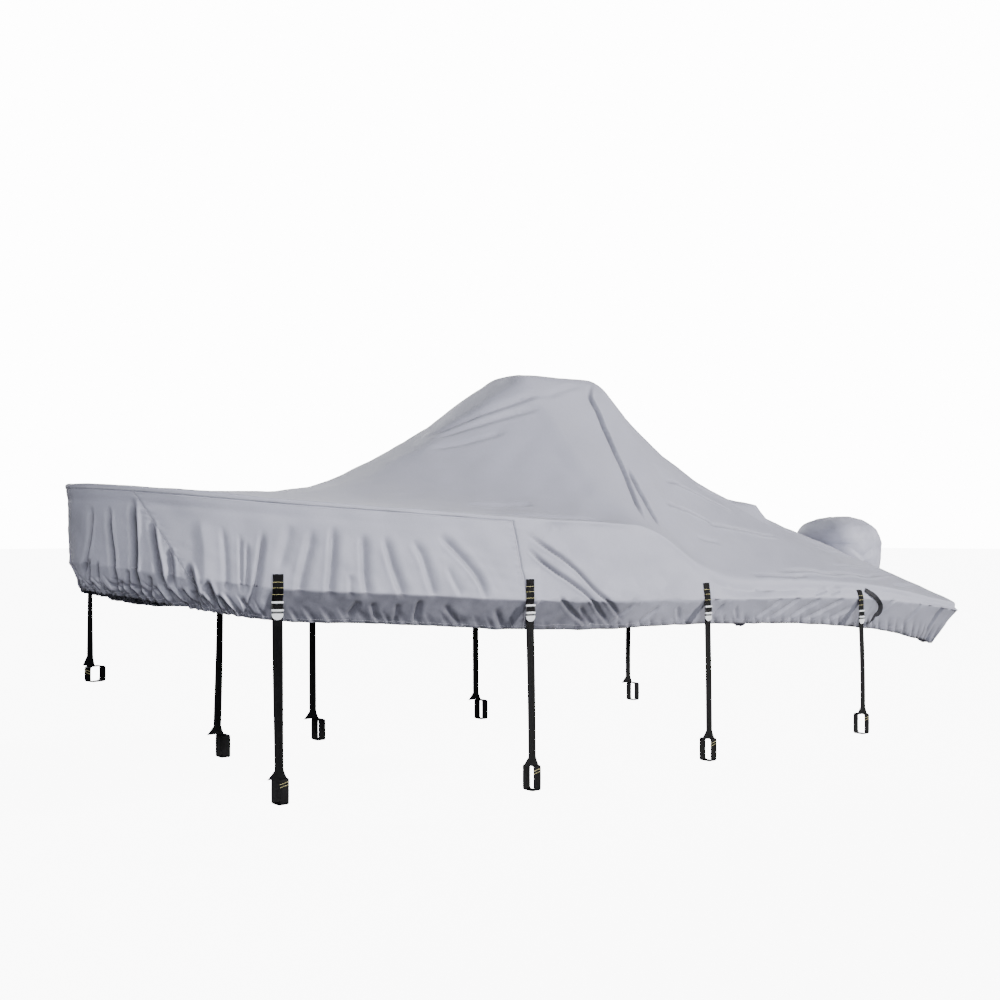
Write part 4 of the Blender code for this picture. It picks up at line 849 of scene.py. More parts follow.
gathers = {
    # distance round from the tip, depth at the hem, share of the drop where they start
    "places": [(0.0, 0.010, 0.84), (0.16, 0.015, 0.80), (0.40, 0.019, 0.78), (0.66, 0.023, 0.78),
               (0.86, 0.018, 0.80), (1.02, 0.010, 0.84), (1.40, 0.007, 0.85), (2.20, 0.006, 0.86),
               (2.60, 0.005, 0.88), (4.50, 0.005, 0.86), (6.20, 0.006, 0.82), (6.90, 0.005, 0.80),
               (7.60, 0.0, 0.80)],
    "spacing": [(0.0, 0.034), (0.4, 0.040), (0.8, 0.044), (1.1, 0.060), (2.3, 0.085), (7.6, 0.095)],
    "slant": 0.42,           # how far the pleats run aft for each whole drop
    "skew": -0.75,
    "spacingSpread": (0.65, 1.45), "depthSpread": (0.55, 1.25),      # share of each number
    "growth": 0.9, "rise": 0.85, "sink": 0.15,
    "scallop": 0.45,         # how far the hem itself goes up and down with its pleats
    # painted shade in the pleats' hollows: the depth at which it is full, and how dark
    "fullShadeDepth": 0.0045, "paintedFoldShade": 0.9,
}


def gatherTable(side):
    chance = np.random.default_rng(60 + side)
    rows = np.array(gathers["places"])
    run, phase = [0.0], [0.0]
    while run[-1] < wholeRun:
        spacing = np.interp(run[-1], *np.array(gathers["spacing"]).T)
        run.append(run[-1] + spacing * chance.uniform(*gathers["spacingSpread"]))
        phase.append(phase[-1] + math.tau)
    heights = chance.uniform(*gathers["depthSpread"], len(run))
    return rows, np.array(run), np.array(phase), heights


def gatherLift(run, across, side):
    rows, places, phases, heights = gatherTable(side)
    down = across - 2.0
    hemRun = leaned(run, np.clip(down, 0.0, 1.0))
    depth = np.interp(hemRun, rows[:, 0], rows[:, 1]) * np.interp(hemRun, places, heights)
    start = np.interp(hemRun, rows[:, 0], rows[:, 2])
    grown = smoothStep((down - start) / np.maximum(1.0 - start, 0.02)) ** gathers["growth"]
    phase = np.interp(hemRun - gathers["slant"] * (down - 1.0), places, phases)
    skewed = np.sin(phase + gathers["skew"] * np.sin(phase))
    return depth * grown * (gathers["rise"] * skewed - gathers["sink"]), grown


# how far the cloth is smoothed beside and above a strap's patch, and the unevenness that is left
strapCalm = {"half": 0.034, "fade": 0.045, "over": 0.01, "overFade": 0.06, "left": 0.12}

# side, x on the edge, top of the patch, x and half-breadth of the end loop
strapRows = {
    "port_1": (-1, -2.300, -1.097, -2.170, 0.500),
    "port_2": (-1, -1.020, -1.150, -1.012, 1.030),
    "port_3": (-1, 0.297, -1.214, 0.305, 1.050),
    "port_4": (-1, 1.765, -1.309, 1.768, 1.045),
    "starboard_1": (1, -1.740, -1.125, -1.755, 0.880),
    "starboard_2": (1, -1.020, -1.150, -1.012, 1.030),
    "starboard_3": (1, 0.297, -1.214, 0.305, 1.050),
    "starboard_4": (1, 1.765, -1.309, 1.768, 1.045),
}


def calmAt(points, side):
    # 0 under a strap's patch, where the cloth lies smooth, and 1 in open cloth
    calm = np.ones(len(points))
    for strapSide, x, top, *rest in strapRows.values():
        if strapSide != side:
            continue
        run = runAt(x)
        base, out = planAt(np.array([run]))[0], planNormal(np.array([run]))[0]
        along = np.array((out[1], -out[0]))
        off = (points[:, 0] - base[0]) * along[0] + (points[:, 1] * -side - base[1]) * along[1]
        off = np.abs(off)
        here = smoothStep((off - strapCalm["half"]) / strapCalm["fade"])
        above = smoothStep((points[:, 2] - top - strapCalm["over"]) / strapCalm["overFade"])
        calm = np.minimum(calm, np.maximum(here, above))
    return calm


seamLook = {
    "groove": 0.0024, "width": 0.006,
    "puckers": 0.0012, "puckerPitch": 0.031, "puckerPlace": 0.014, "puckerSpread": 0.012,
    "puckerTurn": 67.0,
    "slanted": 0.8,                  # distance from a slanted seam, for each metre along the edge
    "hangFrom": 1.7, "hangFade": 0.3,
    "edgeGroove": 0.0018, "rollLength": 0.03, "foreFade": 0.02,
    "hemRise": 0.0016, "hemWidth": 0.030, "hemFade": 0.008,
}

# the rolled rim along the top edge, full at the bow and gone at the second strap
rim = {"rise": 0.0095, "groove": 0.0035, "full": 0.5, "gone": 2.3,
       "middle": 1.62, "spread": 0.42, "groovePlace": 2.10, "grooveSpread": 0.035}


def rimLift(run, across):
    share = 1.0 - smoothStep((run - rim["full"]) / (rim["gone"] - rim["full"]))
    bulge = np.exp(-((across - rim["middle"]) / rim["spread"]) ** 4)
    groove = np.exp(-((across - rim["groovePlace"]) / rim["grooveSpread"]) ** 2)
    return share * (rim["rise"] * bulge - rim["groove"] * groove)


def seamLift(run, across, points):
    # the cloth dips where its pieces are sewn together, and puckers beside the seam
    down = np.clip(across - 2.0, 0.0, 1.0)
    lift = np.zeros(len(run))
    hanging = smoothStep((across - seamLook["hangFrom"]) / seamLook["hangFade"])
    for mark in ("bowSeam", "sideSeam"):
        distance = np.abs(run - marks[mark]) * seamLook["slanted"]
        pucker = np.sin(points[:, 2] * math.tau / seamLook["puckerPitch"]
                        + np.sin(points[:, 2] * seamLook["puckerTurn"]))
        beside = np.exp(-((distance - seamLook["puckerPlace"]) / seamLook["puckerSpread"]) ** 2)
        lift -= hanging * seamLook["groove"] * np.exp(-(distance / seamLook["width"]) ** 2)
        lift += hanging * seamLook["puckers"] * pucker * beside
    length = np.linalg.norm(coverPoint(run, 3.0) - coverPoint(run, 2.0), axis=-1)
    below = np.abs(across - 2.0) * np.where(across > 2.0, length, seamLook["rollLength"])
    fore = smoothStep((marks["sideSeam"] - run) / seamLook["foreFade"])
    lift -= fore * seamLook["edgeGroove"] * np.exp(-(below / seamLook["width"]) ** 2)
    fromHem = (1.0 - down) * length
    hemmed = smoothStep((seamLook["hemWidth"] - fromHem) / seamLook["hemFade"]) * (across > 2.0)
    return lift + seamLook["hemRise"] * hemmed


# seed, length and height of each kind of unevenness: over the whole cloth, on the hanging side,
# and growing towards the hem
ripples = {
    "all": ((7, 0.30, 0.0022), (8, 0.11, 0.0007)), "hanging": (9, 0.20, 0.0022),
    "hem": (10, 0.075, 0.0010), "hangFrom": 1.9, "hangFade": 0.4,
    "edgeShare": 0.6, "edgePlace": 1.5, "edgeSpread": 0.5,       # smoother round the edge
}

# round the stern the hem is plain, and the cloth is pulled flat
sternCalm = {
    "gathersEnd": 0.10, "gathersFade": 0.20,
    "start": 0.02, "fade": 0.05, "across": 0.9, "acrossFade": 0.1, "share": 0.9,
}


def dressedPoint(run, across, side, lines):
    # the draped place with its folds, gathers and unevenness, and the painted shade in the bottoms of
    # its folds and pleats
    base = coverPoint(run, across)
    normal = coverNormal(run, across)
    if side > 0:
        flip = np.array((1.0, -1.0, 1.0))
        base, normal = base * flip, normal * flip
    down = np.clip(across - 2.0, 0.0, 1.0)
    calm = calmAt(base, side)
    hanging = smoothStep((across - ripples["hangFrom"]) / ripples["hangFade"])
    lift, paintedFoldShade = foldLift(base, normal, lines)
    ripple = sum(softNoise(base, *wave) for wave in ripples["all"])
    ripple += hanging * (softNoise(base, *ripples["hanging"]) + softNoise(base, *ripples["hem"]) * down)
    atEdge = np.exp(-((across - ripples["edgePlace"]) / ripples["edgeSpread"]) ** 2)
    atEdge = ripples["edgeShare"] * atEdge
    ripple *= np.where(across < 2.0, 1.0 - atEdge, 1.0)
    gathered, grown = gatherLift(run, across, side)
    hemmed = np.where(across > 2.0, gathered, 0.0)
    fade = smoothStep((marks["transomEnd"] + sternCalm["gathersEnd"] - run) / sternCalm["gathersFade"])
    lift = (lift + ripple + hemmed * fade) * (strapCalm["left"] + (1 - strapCalm["left"]) * calm)
    lift += seamLift(run, across, base) + rimLift(run, across)
    into = smoothStep((run - marks["transomEnd"] + sternCalm["start"]) / sternCalm["fade"])
    into = into * smoothStep((across - sternCalm["across"]) / sternCalm["acrossFade"])
    lift *= 1.0 - sternCalm["share"] * into
    places = base + normal * lift[:, None]
    scallop = np.where(across > 2.0, grown * fade * calm, 0.0)
    places[:, 2] += scallop * gathered * gathers["scallop"]
    # painted shade in the hollows of the hem's pleats
    pleatShade = np.clip(-gathered / gathers["fullShadeDepth"], 0.0, 1.0) * np.where(across > 2.0, fade, 0.0)
    return places, normal, np.maximum(paintedFoldShade, gathers["paintedFoldShade"] * pleatShade) * calm


def weld(points, faces, extras):
    # one vertex for each place, no face with a repeated corner
    keys, first, index = np.unique(np.round(points, 5), axis=0, return_index=True, return_inverse=True)
    index = index.reshape(-1)
    used = []
    for face in faces:
        ring = [int(index[corner]) for corner in face]
        ring = [v for n, v in enumerate(ring) if v != ring[n - 1]]
        if len(set(ring)) >= 3:
            used.append(ring)
    alive = sorted({v for ring in used for v in ring})
    new = {old: number for number, old in enumerate(alive)}
    return (points[first][alive], [[new[v] for v in ring] for ring in used],
            [extra[first][alive] for extra in extras])


def addPiece(name, points, faces, uvs=None, lightAndSoilMarks=None, materials=(), angle=180):
    mesh = bpy.data.meshes.new(name)
    mesh.from_pydata([tuple(map(float, p)) for p in points], [], faces)
    mesh.update()
    if uvs is not None:
        layer = mesh.uv_layers.new(name="clothLay")
        corners = np.zeros(len(mesh.loops), dtype=np.int32)
        mesh.loops.foreach_get("vertex_index", corners)
        layer.data.foreach_set("uv", np.asarray(uvs, np.float32)[corners].ravel())
    if lightAndSoilMarks is not None:
        attribute = mesh.attributes.new("paintedLightAndSoil", "FLOAT", "POINT")
        attribute.data.foreach_set("value", np.asarray(lightAndSoilMarks, np.float32))
    for finish in materials:
        mesh.materials.append(finish)
    mesh.shade_smooth()
    if angle < 180:
        mesh.set_sharp_from_angle(angle=math.radians(angle))
    made = bpy.data.objects.new(name, mesh)
    bpy.context.scene.collection.objects.link(made)
    return made


def thickenCloth(piece):
    solid = piece.modifiers.new("clothThickness", "SOLIDIFY")
    solid.thickness = drape["clothThickness"]
    solid.offset = -1.0
    solid.use_rim = True
    solid.use_quality_normals = True


def simplify(piece, triangles):
    # fewer faces where the cloth is smooth, all of them kept in its creases
    count = sum(len(face.vertices) - 2 for face in piece.data.polygons)
    if count <= triangles:
        return
    fewer = piece.modifiers.new("simplify", "DECIMATE")
    fewer.ratio = triangles / count
    bpy.context.view_layer.update()
    shown = piece.evaluated_get(bpy.context.evaluated_depsgraph_get())
    mesh = bpy.data.meshes.new_from_object(shown)
    piece.modifiers.remove(fewer)
    piece.data = mesh


def meshArea(piece):
    return sum(face.area for face in piece.data.polygons)


paintedLightLook = {
    # painted shade on the turned-in band from its fold down: share of the drop where it starts, in the
    # open and at the bow, and how much, forward of the after end and past it
    "bandStart": 0.715, "bowBandLower": 0.22, "bowBandEnd": 0.88, "bowBandFade": 0.16,
    "bandEdge": 0.02, "bandLeast": 0.20, "bandMore": 0.66, "bandEnd": 3.25, "bandFade": 0.5,
    # darker towards the hem, along the whole length
    "hemStart": 0.90, "hemDarkening": 0.25,
    # a painted highlight along the rolled rim
    "rubPlace": 1.80, "rubSpread": 0.12, "rubEnd": 2.6, "rub": 0.55,
}


def clothPaintedLight(run, across, paintedFoldShade):
    # above 0 where painted shade darkens the turned-in band and the bottoms of folds and pleats, and
    # where the cloth is darker towards the hem; below 0 where a painted highlight lightens the rolled
    # rim
    down = np.clip(across - 2.0, 0.0, 1.0)
    # painted shade on the turned-in band from its fold down, full forward of its after end and weaker
    # past it
    lower = smoothStep((paintedLightLook["bowBandEnd"] - run) / paintedLightLook["bowBandFade"])
    bandStart = paintedLightLook["bandStart"] + paintedLightLook["bowBandLower"] * lower
    along = smoothStep((paintedLightLook["bandEnd"] - run) / paintedLightLook["bandFade"])
    under = smoothStep((down - bandStart) / paintedLightLook["bandEdge"])
    under = under * (paintedLightLook["bandLeast"] + paintedLightLook["bandMore"] * along)
    hem = smoothStep((down - paintedLightLook["hemStart"]) / (1.0 - paintedLightLook["hemStart"]))
    under = np.maximum(under, paintedLightLook["hemDarkening"] * hem)
    # painted highlight along the rolled rim
    rubbed = np.exp(-((across - paintedLightLook["rubPlace"]) / paintedLightLook["rubSpread"]) ** 2)
    rubbed = rubbed * smoothStep(paintedLightLook["rubEnd"] - run)
    return np.clip(under + paintedFoldShade - paintedLightLook["rub"] * rubbed, -1.0, 1.0)


def clothPanel(name, columns, rows, sides, keep):
    # a sheet over the draped surface. keep says which cells of the grid belong to it
    points, faces, uvs, lightAndSoilMarks = [], [], [], []
    first = 0
    n, m = len(columns), len(rows)
    run, across = (grid.ravel() for grid in np.meshgrid(columns, rows, indexing="ij"))
    i, j = (grid.ravel() for grid in np.meshgrid(range(n - 1), range(m - 1), indexing="ij"))
    cells = keep((columns[i] + columns[i + 1]) / 2, (rows[j] + rows[j + 1]) / 2)
    i, j = i[cells], j[cells]
    grids = {}
    for side in sides:
        places, normal, paintedFoldShade = dressedPoint(run, across, side, foldLines(side))
        quads = np.stack([i * m + j, i * m + j + 1, (i + 1) * m + j + 1, (i + 1) * m + j], -1)
        if side > 0:
            quads = quads[:, ::-1]
        faces += (quads + first).tolist()
        points.append(places)
        lay = np.linalg.norm(np.diff(places.reshape(n, m, 3), axis=1), axis=-1)
        lay = np.concatenate([np.zeros((n, 1)), np.cumsum(lay, axis=1)], axis=1).ravel()
        share = np.clip(across, 0.0, 1.0)
        u = (footAt(run) - coverPlan["tipX"]) * (1 - share) + run * share
        uvs.append(np.stack([u, lay * side], -1))
        lightAndSoilMarks.append(clothPaintedLight(run, across, paintedFoldShade))
        grids[side] = (places.reshape(n, m, 3), normal.reshape(n, m, 3))
        first += n * m
    points, faces, (uvs, lightAndSoilMarks) = weld(np.concatenate(points), faces,
                                      (np.concatenate(uvs), np.concatenate(lightAndSoilMarks)))
    piece = addPiece(name, points, faces, uvs, lightAndSoilMarks, (cloth,))
    return piece, grids


def evenSteps(marksAndSteps):
    # places from one mark to the next, each stretch with its own spacing
    places = [marksAndSteps[0][0]]
    for (start, step), (end, nextStep) in zip(marksAndSteps, marksAndSteps[1:]):
        count = max(1, round((end - start) / step))
        places += [start + (end - start) * k / count for k in range(1, count + 1)]
    return np.array(places)


fineness = 1.0
near = 0.010                     # spacing of the columns beside a seam

panelRows = {
    "top": 116, "towardsEdge": 0.05,
    "roll": (1.10, 1.25, 1.42, 1.6, 1.78, 1.92),
    "drop": 52, "sideDrop": 70, "bowDrop": 72,
    "always": (0.03, 0.70, 0.72, 0.74, 0.955, 0.985),        # shares of the drop
    "closest": 0.008,
    "mainTriangles": 92000,
}


def topRows():
    share = np.linspace(0.0, 1.0, int(panelRows["top"] / fineness) + 1)
    share = share - panelRows["towardsEdge"] * np.sin(share * math.pi) * share
    return np.concatenate([share, panelRows["roll"], [2.0]])


def dropRows(count):
    share = np.linspace(0.0, 1.0, int(count / fineness) + 1)
    rows = np.unique(np.concatenate([share, panelRows["always"]]))
    keepRow = np.concatenate([[True], np.diff(rows) > panelRows["closest"]])
    return 2.0 + rows[keepRow]


mainColumns = evenSteps([
    (0.0, 0.016 * fineness), (1.70, 0.012 * fineness), (marks["sideSeam"] - 0.03, near),
    (marks["sideSeam"], near), (marks["sideSeam"] + 0.03, 0.0065 * fineness),
    (3.30, 0.0095 * fineness), (marks["corner"] - 0.1, 0.010 * fineness),
    (marks["corner"] + 0.35, 0.014 * fineness), (marks["transomEnd"], 0.012),
    (marks["notch"], 0.02), (wholeRun, 0.03)])
mainRows = np.concatenate([topRows(), dropRows(panelRows["drop"])[1:]])
mainPanel, mainGrids = clothPanel(
    "mainPanel", mainColumns, mainRows, (-1, 1),
    lambda run, across: (across < 2.0) | (run > marks["sideSeam"]))
simplify(mainPanel, panelRows["mainTriangles"])
thickenCloth(mainPanel)
print("main panel", len(mainPanel.data.polygons), "faces", round(meshArea(mainPanel), 3), "m2")

sidePanels = {}
sideColumns = evenSteps([
    (marks["bowSeam"], 0.005), (marks["bowSeam"] + 0.03, 0.0055 * fineness),
    (marks["sideSeam"] - 0.03, near), (marks["sideSeam"], near)])
for side, label in ((-1, "port"), (1, "starboard")):
    sidePanels[label] = clothPanel("sidePanel_" + label, sideColumns,
                                   dropRows(panelRows["sideDrop"]), (side,),
                                   lambda run, across: run > -1)
    thickenCloth(sidePanels[label][0])
    print("side panel", label, round(meshArea(sidePanels[label][0]), 3), "m2")

bowColumns = evenSteps([(0.0, 0.0028 * fineness), (marks["bowSeam"] - 0.02, 0.0033),
                        (marks["bowSeam"], 0.0033)])
bowPanel, bowGrids = clothPanel("bowPanel", bowColumns, dropRows(panelRows["bowDrop"]), (-1, 1),
                                lambda run, across: run > -1)
thickenCloth(bowPanel)
print("bow panel", round(meshArea(bowPanel), 3), "m2")


# The motor hood: a domed box, open below, gathered on its hem

hood = {
    "x": 2.9425, "halfLength": 0.2822, "halfWidth": 0.266,
    "top": -0.857, "edge": -1.053, "hem": -1.383, "frontDrop": 0.075,
    "squareness": 3.2, "drawnIn": 0.030, "topShift": 0.040,
    "domePower": 0.9, "domeSpread": 0.75, "shiftPower": 0.5,
    "wallPower": 2.5, "wallWaves": 7, "wallWaveDepth": 0.012, "wallWaveTurn": 0.7,
    "frontEnd": 0.80, "frontFade": 0.16,        # where the short front turns into the sides
    "around": 220, "domeRows": 44, "wallRows": 44,
    "gathers": 46, "gatherDepth": 0.0052, "gatherStart": 0.62, "gatherDrop": 0.004,
    "stitchRows": (0.885, 1.93),
    "hemRise": 0.0016, "hemStart": 0.93, "hemFade": 0.02, "soilStart": 0.85, "soilAndShade": 0.5,
    "seamRow": 0.93, "seamRise": 0.0008, "seamWidth": 0.012,
    "seamSoil": 0.06, "seamSoilWidth": 0.03,
    "ripples": ((31, 0.16, 0.0034), (32, 0.065, 0.0012)),        # seed, length, height
    "frontLift": 0.15,               # share of the unevenness that is left at the front
    # degrees round from the stern, and how many creases gather there
    "creaseCorners": ((45, 9), (135, 4), (0, 5), (90, 3), (-35, 5)),
    "creaseSpread": 26, "creaseTurn": 22, "creaseStart": (0.50, 1.0), "creaseLength": (0.25, 0.65),
    "creaseWidth": (0.011, 0.020), "creaseDepth": (0.004, 0.010), "creaseLip": 0.6,
    # the long soft crease that shows from the port quarter: degrees, rows, width, depth, lip
    "longCrease": ((-158, -140, -122, -106, -92, -80), (0.94, 1.10, 1.24, 1.28, 1.20, 1.04),
                   0.020, 0.011, 0.6),
}


def hoodAft(reachX):
    # 0 at the short front and 1 on the sides and the back
    return smoothStep((reachX + hood["frontEnd"] * hood["halfLength"]) / hood["frontFade"])


def hoodPoint(angle, row):
    # row runs 0 to 1 over the dome and to 2 down the wall
    ca, sa = np.cos(angle), np.sin(angle)
    power = hood["squareness"]
    squared = (np.abs(ca) ** power + np.abs(sa) ** power) ** (-1 / power)
    reachX, reachY = hood["halfLength"] * ca * squared, hood["halfWidth"] * sa * squared
    tilt = np.radians(90) * np.clip(row, 0.0, 1.0)
    level = np.clip(np.cos(tilt), 0.0, 1.0)
    domeZ = hood["edge"] + (hood["top"] - hood["edge"]) * level ** hood["domePower"]
    domeX = reachX - hood["topShift"] * level ** hood["shiftPower"]
    down = np.clip(row - 1.0, 0.0, 1.0)
    aft = hoodAft(reachX)
    front = hood["edge"] - hood["frontDrop"]
    wallZ = hood["edge"] + (front + (hood["hem"] - front) * aft - hood["edge"]) * down
    wallSpread = 1 - hood["drawnIn"] / hood["halfWidth"] * aft * down ** hood["wallPower"]
    waves = (1 + np.sin(hood["wallWaves"] * angle + hood["wallWaveTurn"])) / 2
    wallSpread = wallSpread - hood["wallWaveDepth"] * aft * down * waves
    dome = row <= 1.0
    spread = np.where(dome, np.sin(tilt) ** hood["domeSpread"], wallSpread)
    x = hood["x"] + np.where(dome, domeX, reachX) * spread
    return np.stack([x, reachY * spread, np.where(dome, domeZ, wallZ)], -1)


def hoodCreases():
    # short creases that gather at the dome's rear corners and run down its wall
    chance = np.random.default_rng(5)
    lines = []
    spread, turned, lip = hood["creaseSpread"], hood["creaseTurn"], hood["creaseLip"]
    for corner, count in hood["creaseCorners"]:
        for n in range(count):
            angle = math.radians(corner + chance.uniform(-spread, spread))
            start = chance.uniform(*hood["creaseStart"])
            turn = math.radians(chance.uniform(-turned, turned))
            rows = np.linspace(start, start + chance.uniform(*hood["creaseLength"]), 6)
            angles = angle + turn * np.linspace(0, 1, 6) + 0.05 * np.sin(np.linspace(0, 5, 6) + n)
            lines.append((hoodPoint(angles, rows), chance.uniform(*hood["creaseWidth"]),
                          chance.uniform(*hood["creaseDepth"]), chance.choice((-lip, lip))))
    degrees, rows, *sizes = hood["longCrease"]
    lines.append((hoodPoint(np.radians(degrees), np.array(rows)), *sizes))
    return lines


def buildHood():
    around = int(hood["around"] / fineness)
    rows = np.concatenate([np.linspace(0.0, 1.0, int(hood["domeRows"] / fineness) + 1)[1:],
                           np.linspace(1.0, 2.0, int(hood["wallRows"] / fineness) + 1)[1:]])
    angles = math.tau * np.arange(around) / around
    row, angle = (grid.ravel() for grid in np.meshgrid(rows, angles, indexing="ij"))
    base = hoodPoint(angle, row)
    n = len(rows)
    turned = hoodPoint(angle + 0.01, row) - hoodPoint(angle - 0.01, row)
    lowered = hoodPoint(angle, np.minimum(row + 0.01, 2.0))
    lowered = lowered - hoodPoint(angle, np.maximum(row - 0.01, 0.0))
    normal = unit(np.cross(lowered, turned))
    aft = hoodAft(base[:, 0] - hood["x"])
    down = np.clip(row - 1.0, 0.0, 1.0)
    lift = foldLift(base, normal, hoodCreases())[0]
    lift += sum(softNoise(base, *wave) for wave in hood["ripples"])
    wave = np.sin(hood["gathers"] * angle + 1.3 * np.sin(5 * angle) + 0.8 * np.sin(11 * angle + 1))
    grown = smoothStep((down - hood["gatherStart"]) / (1.0 - hood["gatherStart"]))
    depth = hood["gatherDepth"] * (0.7 + 0.5 * np.sin(3 * angle + 2))
    lift += depth * grown * (np.abs(wave) ** 0.8 * 1.6 - 0.8)
    lift += hood["hemRise"] * smoothStep((down - hood["hemStart"]) / hood["hemFade"])
    seam = np.abs(row - hood["seamRow"])        # the dome is sewn to the wall on a raised seam
    lift += hood["seamRise"] * np.exp(-(seam / hood["seamWidth"]) ** 2)
    lift = lift * (hood["frontLift"] + (1 - hood["frontLift"]) * aft)
    places = base + normal * lift[:, None]
    places[:, 2] += grown * aft * hood["gatherDrop"] * wave
    cap = np.array([[hood["x"] - hood["topShift"], 0.0, hood["top"] + 0.001]])
    points = np.vstack([places, cap])
    faces = []
    for k in range(around):
        after = (k + 1) % around
        faces.append((len(places), k, after))
        for level in range(n - 1):
            a, b = level * around + k, level * around + after
            faces.append((a, a + around, b + around, b))
    uvs = np.vstack([np.stack([angle * 0.27, row * 0.3], -1), [[0.0, 0.0]]])
    soiled = hood["soilAndShade"] * smoothStep((down - hood["soilStart"]) / (1.0 - hood["soilStart"]))
    soiled = np.maximum(soiled, hood["seamSoil"] * np.exp(-(seam / hood["seamSoilWidth"]) ** 2))
    piece = addPiece("motorHood", points, faces, uvs, np.append(soiled, 0.0), (cloth,))
    thickenCloth(piece)
    return piece, places.reshape(n, around, 3), normal.reshape(n, around, 3), rows


motorHood, hoodGrid, hoodNormals, hoodRows = buildHood()
print("motor hood", round(meshArea(motorHood), 3), "m2")


# Straps

strap = {
    "width": 0.050, "thick": 0.0022,
    "patchLength": 0.128, "patchThick": 0.003, "patchClear": 0.0012,
    "loopDepth": 0.080, "loopHeight": 0.125, "loopTop": -2.098, "loopBend": 0.010,
    "loopLanding": 0.0125, "loopShift": 0.022,
    "flareLength": 0.048, "flareWidth": 0.110, "flareShift": -0.012,
    "webStart": 0.030, "webStraight": 0.060, "webBow": 0.004, "gap": 0.0003,
    "stitchPlaces": (0.29, 0.52, 0.76),       # shares of the patch's length
    "stitchLength": 0.047, "loopStitchLength": 0.046, "stitchLift": 0.0004,
    "loopStitches": (0.020, 0.034), "loopSlant": 0.010,
    "patchSteps": 24, "webSteps": 25, "flareSteps": 7, "flarePower": 1.15,
    "loopStep": 0.012, "loopSag": 0.0008, "patchOver": 0.012,
    "rays": 15, "rayStart": 0.3,     # how the cloth under a strap is felt for
}

# section of a woven band, with its edges a little thinner than its middle
bandProfile = np.array([
    (-0.5, -0.2), (-0.47, -0.5), (-0.2, -0.5), (0.2, -0.5), (0.47, -0.5), (0.5, -0.2),
    (0.5, 0.2), (0.47, 0.5), (0.2, 0.5), (-0.2, 0.5), (-0.47, 0.5), (-0.5, 0.2)])


def band(name, stations, material, closed=False):
    # woven band through stations of middle, width vector and thickness vector
    points, uvs, faces = [], [], []
    lay = 0.0
    count = len(bandProfile)
    for n, (middle, across, thick) in enumerate(stations):
        if n:
            lay += (middle - stations[n - 1][0]).length
        for a, b in bandProfile:
            points.append(middle + across * a + thick * b)
            uvs.append((a * across.length, lay))
    last = len(stations) if closed else len(stations) - 1
    for n in range(last):
        here, after = n * count, (n + 1) % len(stations) * count
        for k in range(count):
            faces.append((here + k, here + (k + 1) % count, after + (k + 1) % count, after + k))
    if not closed:
        faces.append(tuple(range(count))[::-1])
        faces.append(tuple(range(last * count, last * count + count)))
    piece = addPiece(name, points, faces, uvs, None, (material,), 50)
    fixed = bmesh.new()
    fixed.from_mesh(piece.data)
    bmesh.ops.recalc_face_normals(fixed, faces=fixed.faces)
    fixed.to_mesh(piece.data)
    fixed.free()
    return piece


def treeOf(pieces):
    places, faces = [], []
    for piece in pieces:
        first = len(places)
        places += [vertex.co.copy() for vertex in piece.data.vertices]
        faces += [[first + v for v in face.vertices] for face in piece.data.polygons]
    return BVHTree.FromPolygons(places, faces)


clothTree = treeOf([mainPanel, sidePanels["port"][0], sidePanels["starboard"][0], bowPanel])


def clothReach(base, out, aft, z, width):
    reach = []
    for ray in range(strap["rays"]):
        start = base + out * strap["rayStart"]
        start = start + aft * (width * (ray / (strap["rays"] - 1) - 0.5)) + Vector((0, 0, z))
        hit = clothTree.ray_cast(start, -out)[0]
        if hit:
            reach.append((hit - base).dot(out))
    return max(reach)


buckle = {
    # kind, across from and to, down from and to, out from and to, roundness. Millimetres
    "pale": [
        ("bar", -29.0, 29.0, 0.0, 10.5, 0.5, 9.5, 2.6),
        ("bar", -29.0, 29.0, 37.0, 48.0, 0.5, 9.5, 2.6),
        ("tab", -27.5, 27.5, 57.5, 87.5, 1.0, 6.6, 1.6),
        ("bar", -17.0, 17.0, 62.0, 63.6, 6.0, 7.6, 0.5),
        ("bar", -15.0, 15.0, 66.6, 68.2, 6.0, 7.6, 0.5),
        ("bar", -12.0, 12.0, 71.2, 72.8, 6.0, 7.6, 0.5),
    ],
    "dark": [
        ("bar", -28.0, -24.6, 8.0, 40.0, 0.8, 6.5, 1.0),
        ("bar", 24.6, 28.0, 8.0, 40.0, 0.8, 6.5, 1.0),
        ("bar", -23.0, 23.0, 46.0, 60.0, 0.8, 4.6, 1.2),
    ],
    "webbing": [
        ("bar", -24.6, 24.6, 8.0, 23.0, 0.6, 5.6, 1.6),
        ("bar", -24.6, 24.6, 22.0, 39.0, 0.6, 4.2, 1.4),
    ],
}


def bucklePart(kind, left, right, top, bottom, back, front, roundness):
    made = bmesh.new()
    if kind == "bar":
        bmesh.ops.create_cube(made, size=1.0)
        bmesh.ops.scale(made, vec=(right - left, bottom - top, front - back), verts=made.verts)
        bmesh.ops.translate(made, vec=((left + right) / 2, (top + bottom) / 2, (back + front) / 2),
                            verts=made.verts)
    else:                                   # a thumb tab: straight above, a half round below
        outline = [(left, top), (right, top), (right, top + 3)]
        for step in range(1, 24):
            angle = math.pi * step / 24
            outline.append((right * math.cos(angle), top + 3 + (bottom - top - 3) * math.sin(angle)))
        outline.append((left, top + 3))
        lower = [made.verts.new((x, y, back)) for x, y in outline]
        upper = [made.verts.new((x, y, front)) for x, y in outline]
        made.faces.new(lower[::-1])
        made.faces.new(upper)
        for k in range(len(outline)):
            after = (k + 1) % len(outline)
            made.faces.new((lower[k], lower[after], upper[after], upper[k]))
    sharp = [edge for edge in made.edges if edge.calc_face_angle(0.0) > math.radians(40)]
    bmesh.ops.bevel(made, geom=sharp, offset=roundness, offset_type="OFFSET", segments=3,
                    affect="EDGES", profile=0.5, clamp_overlap=True)
    return made


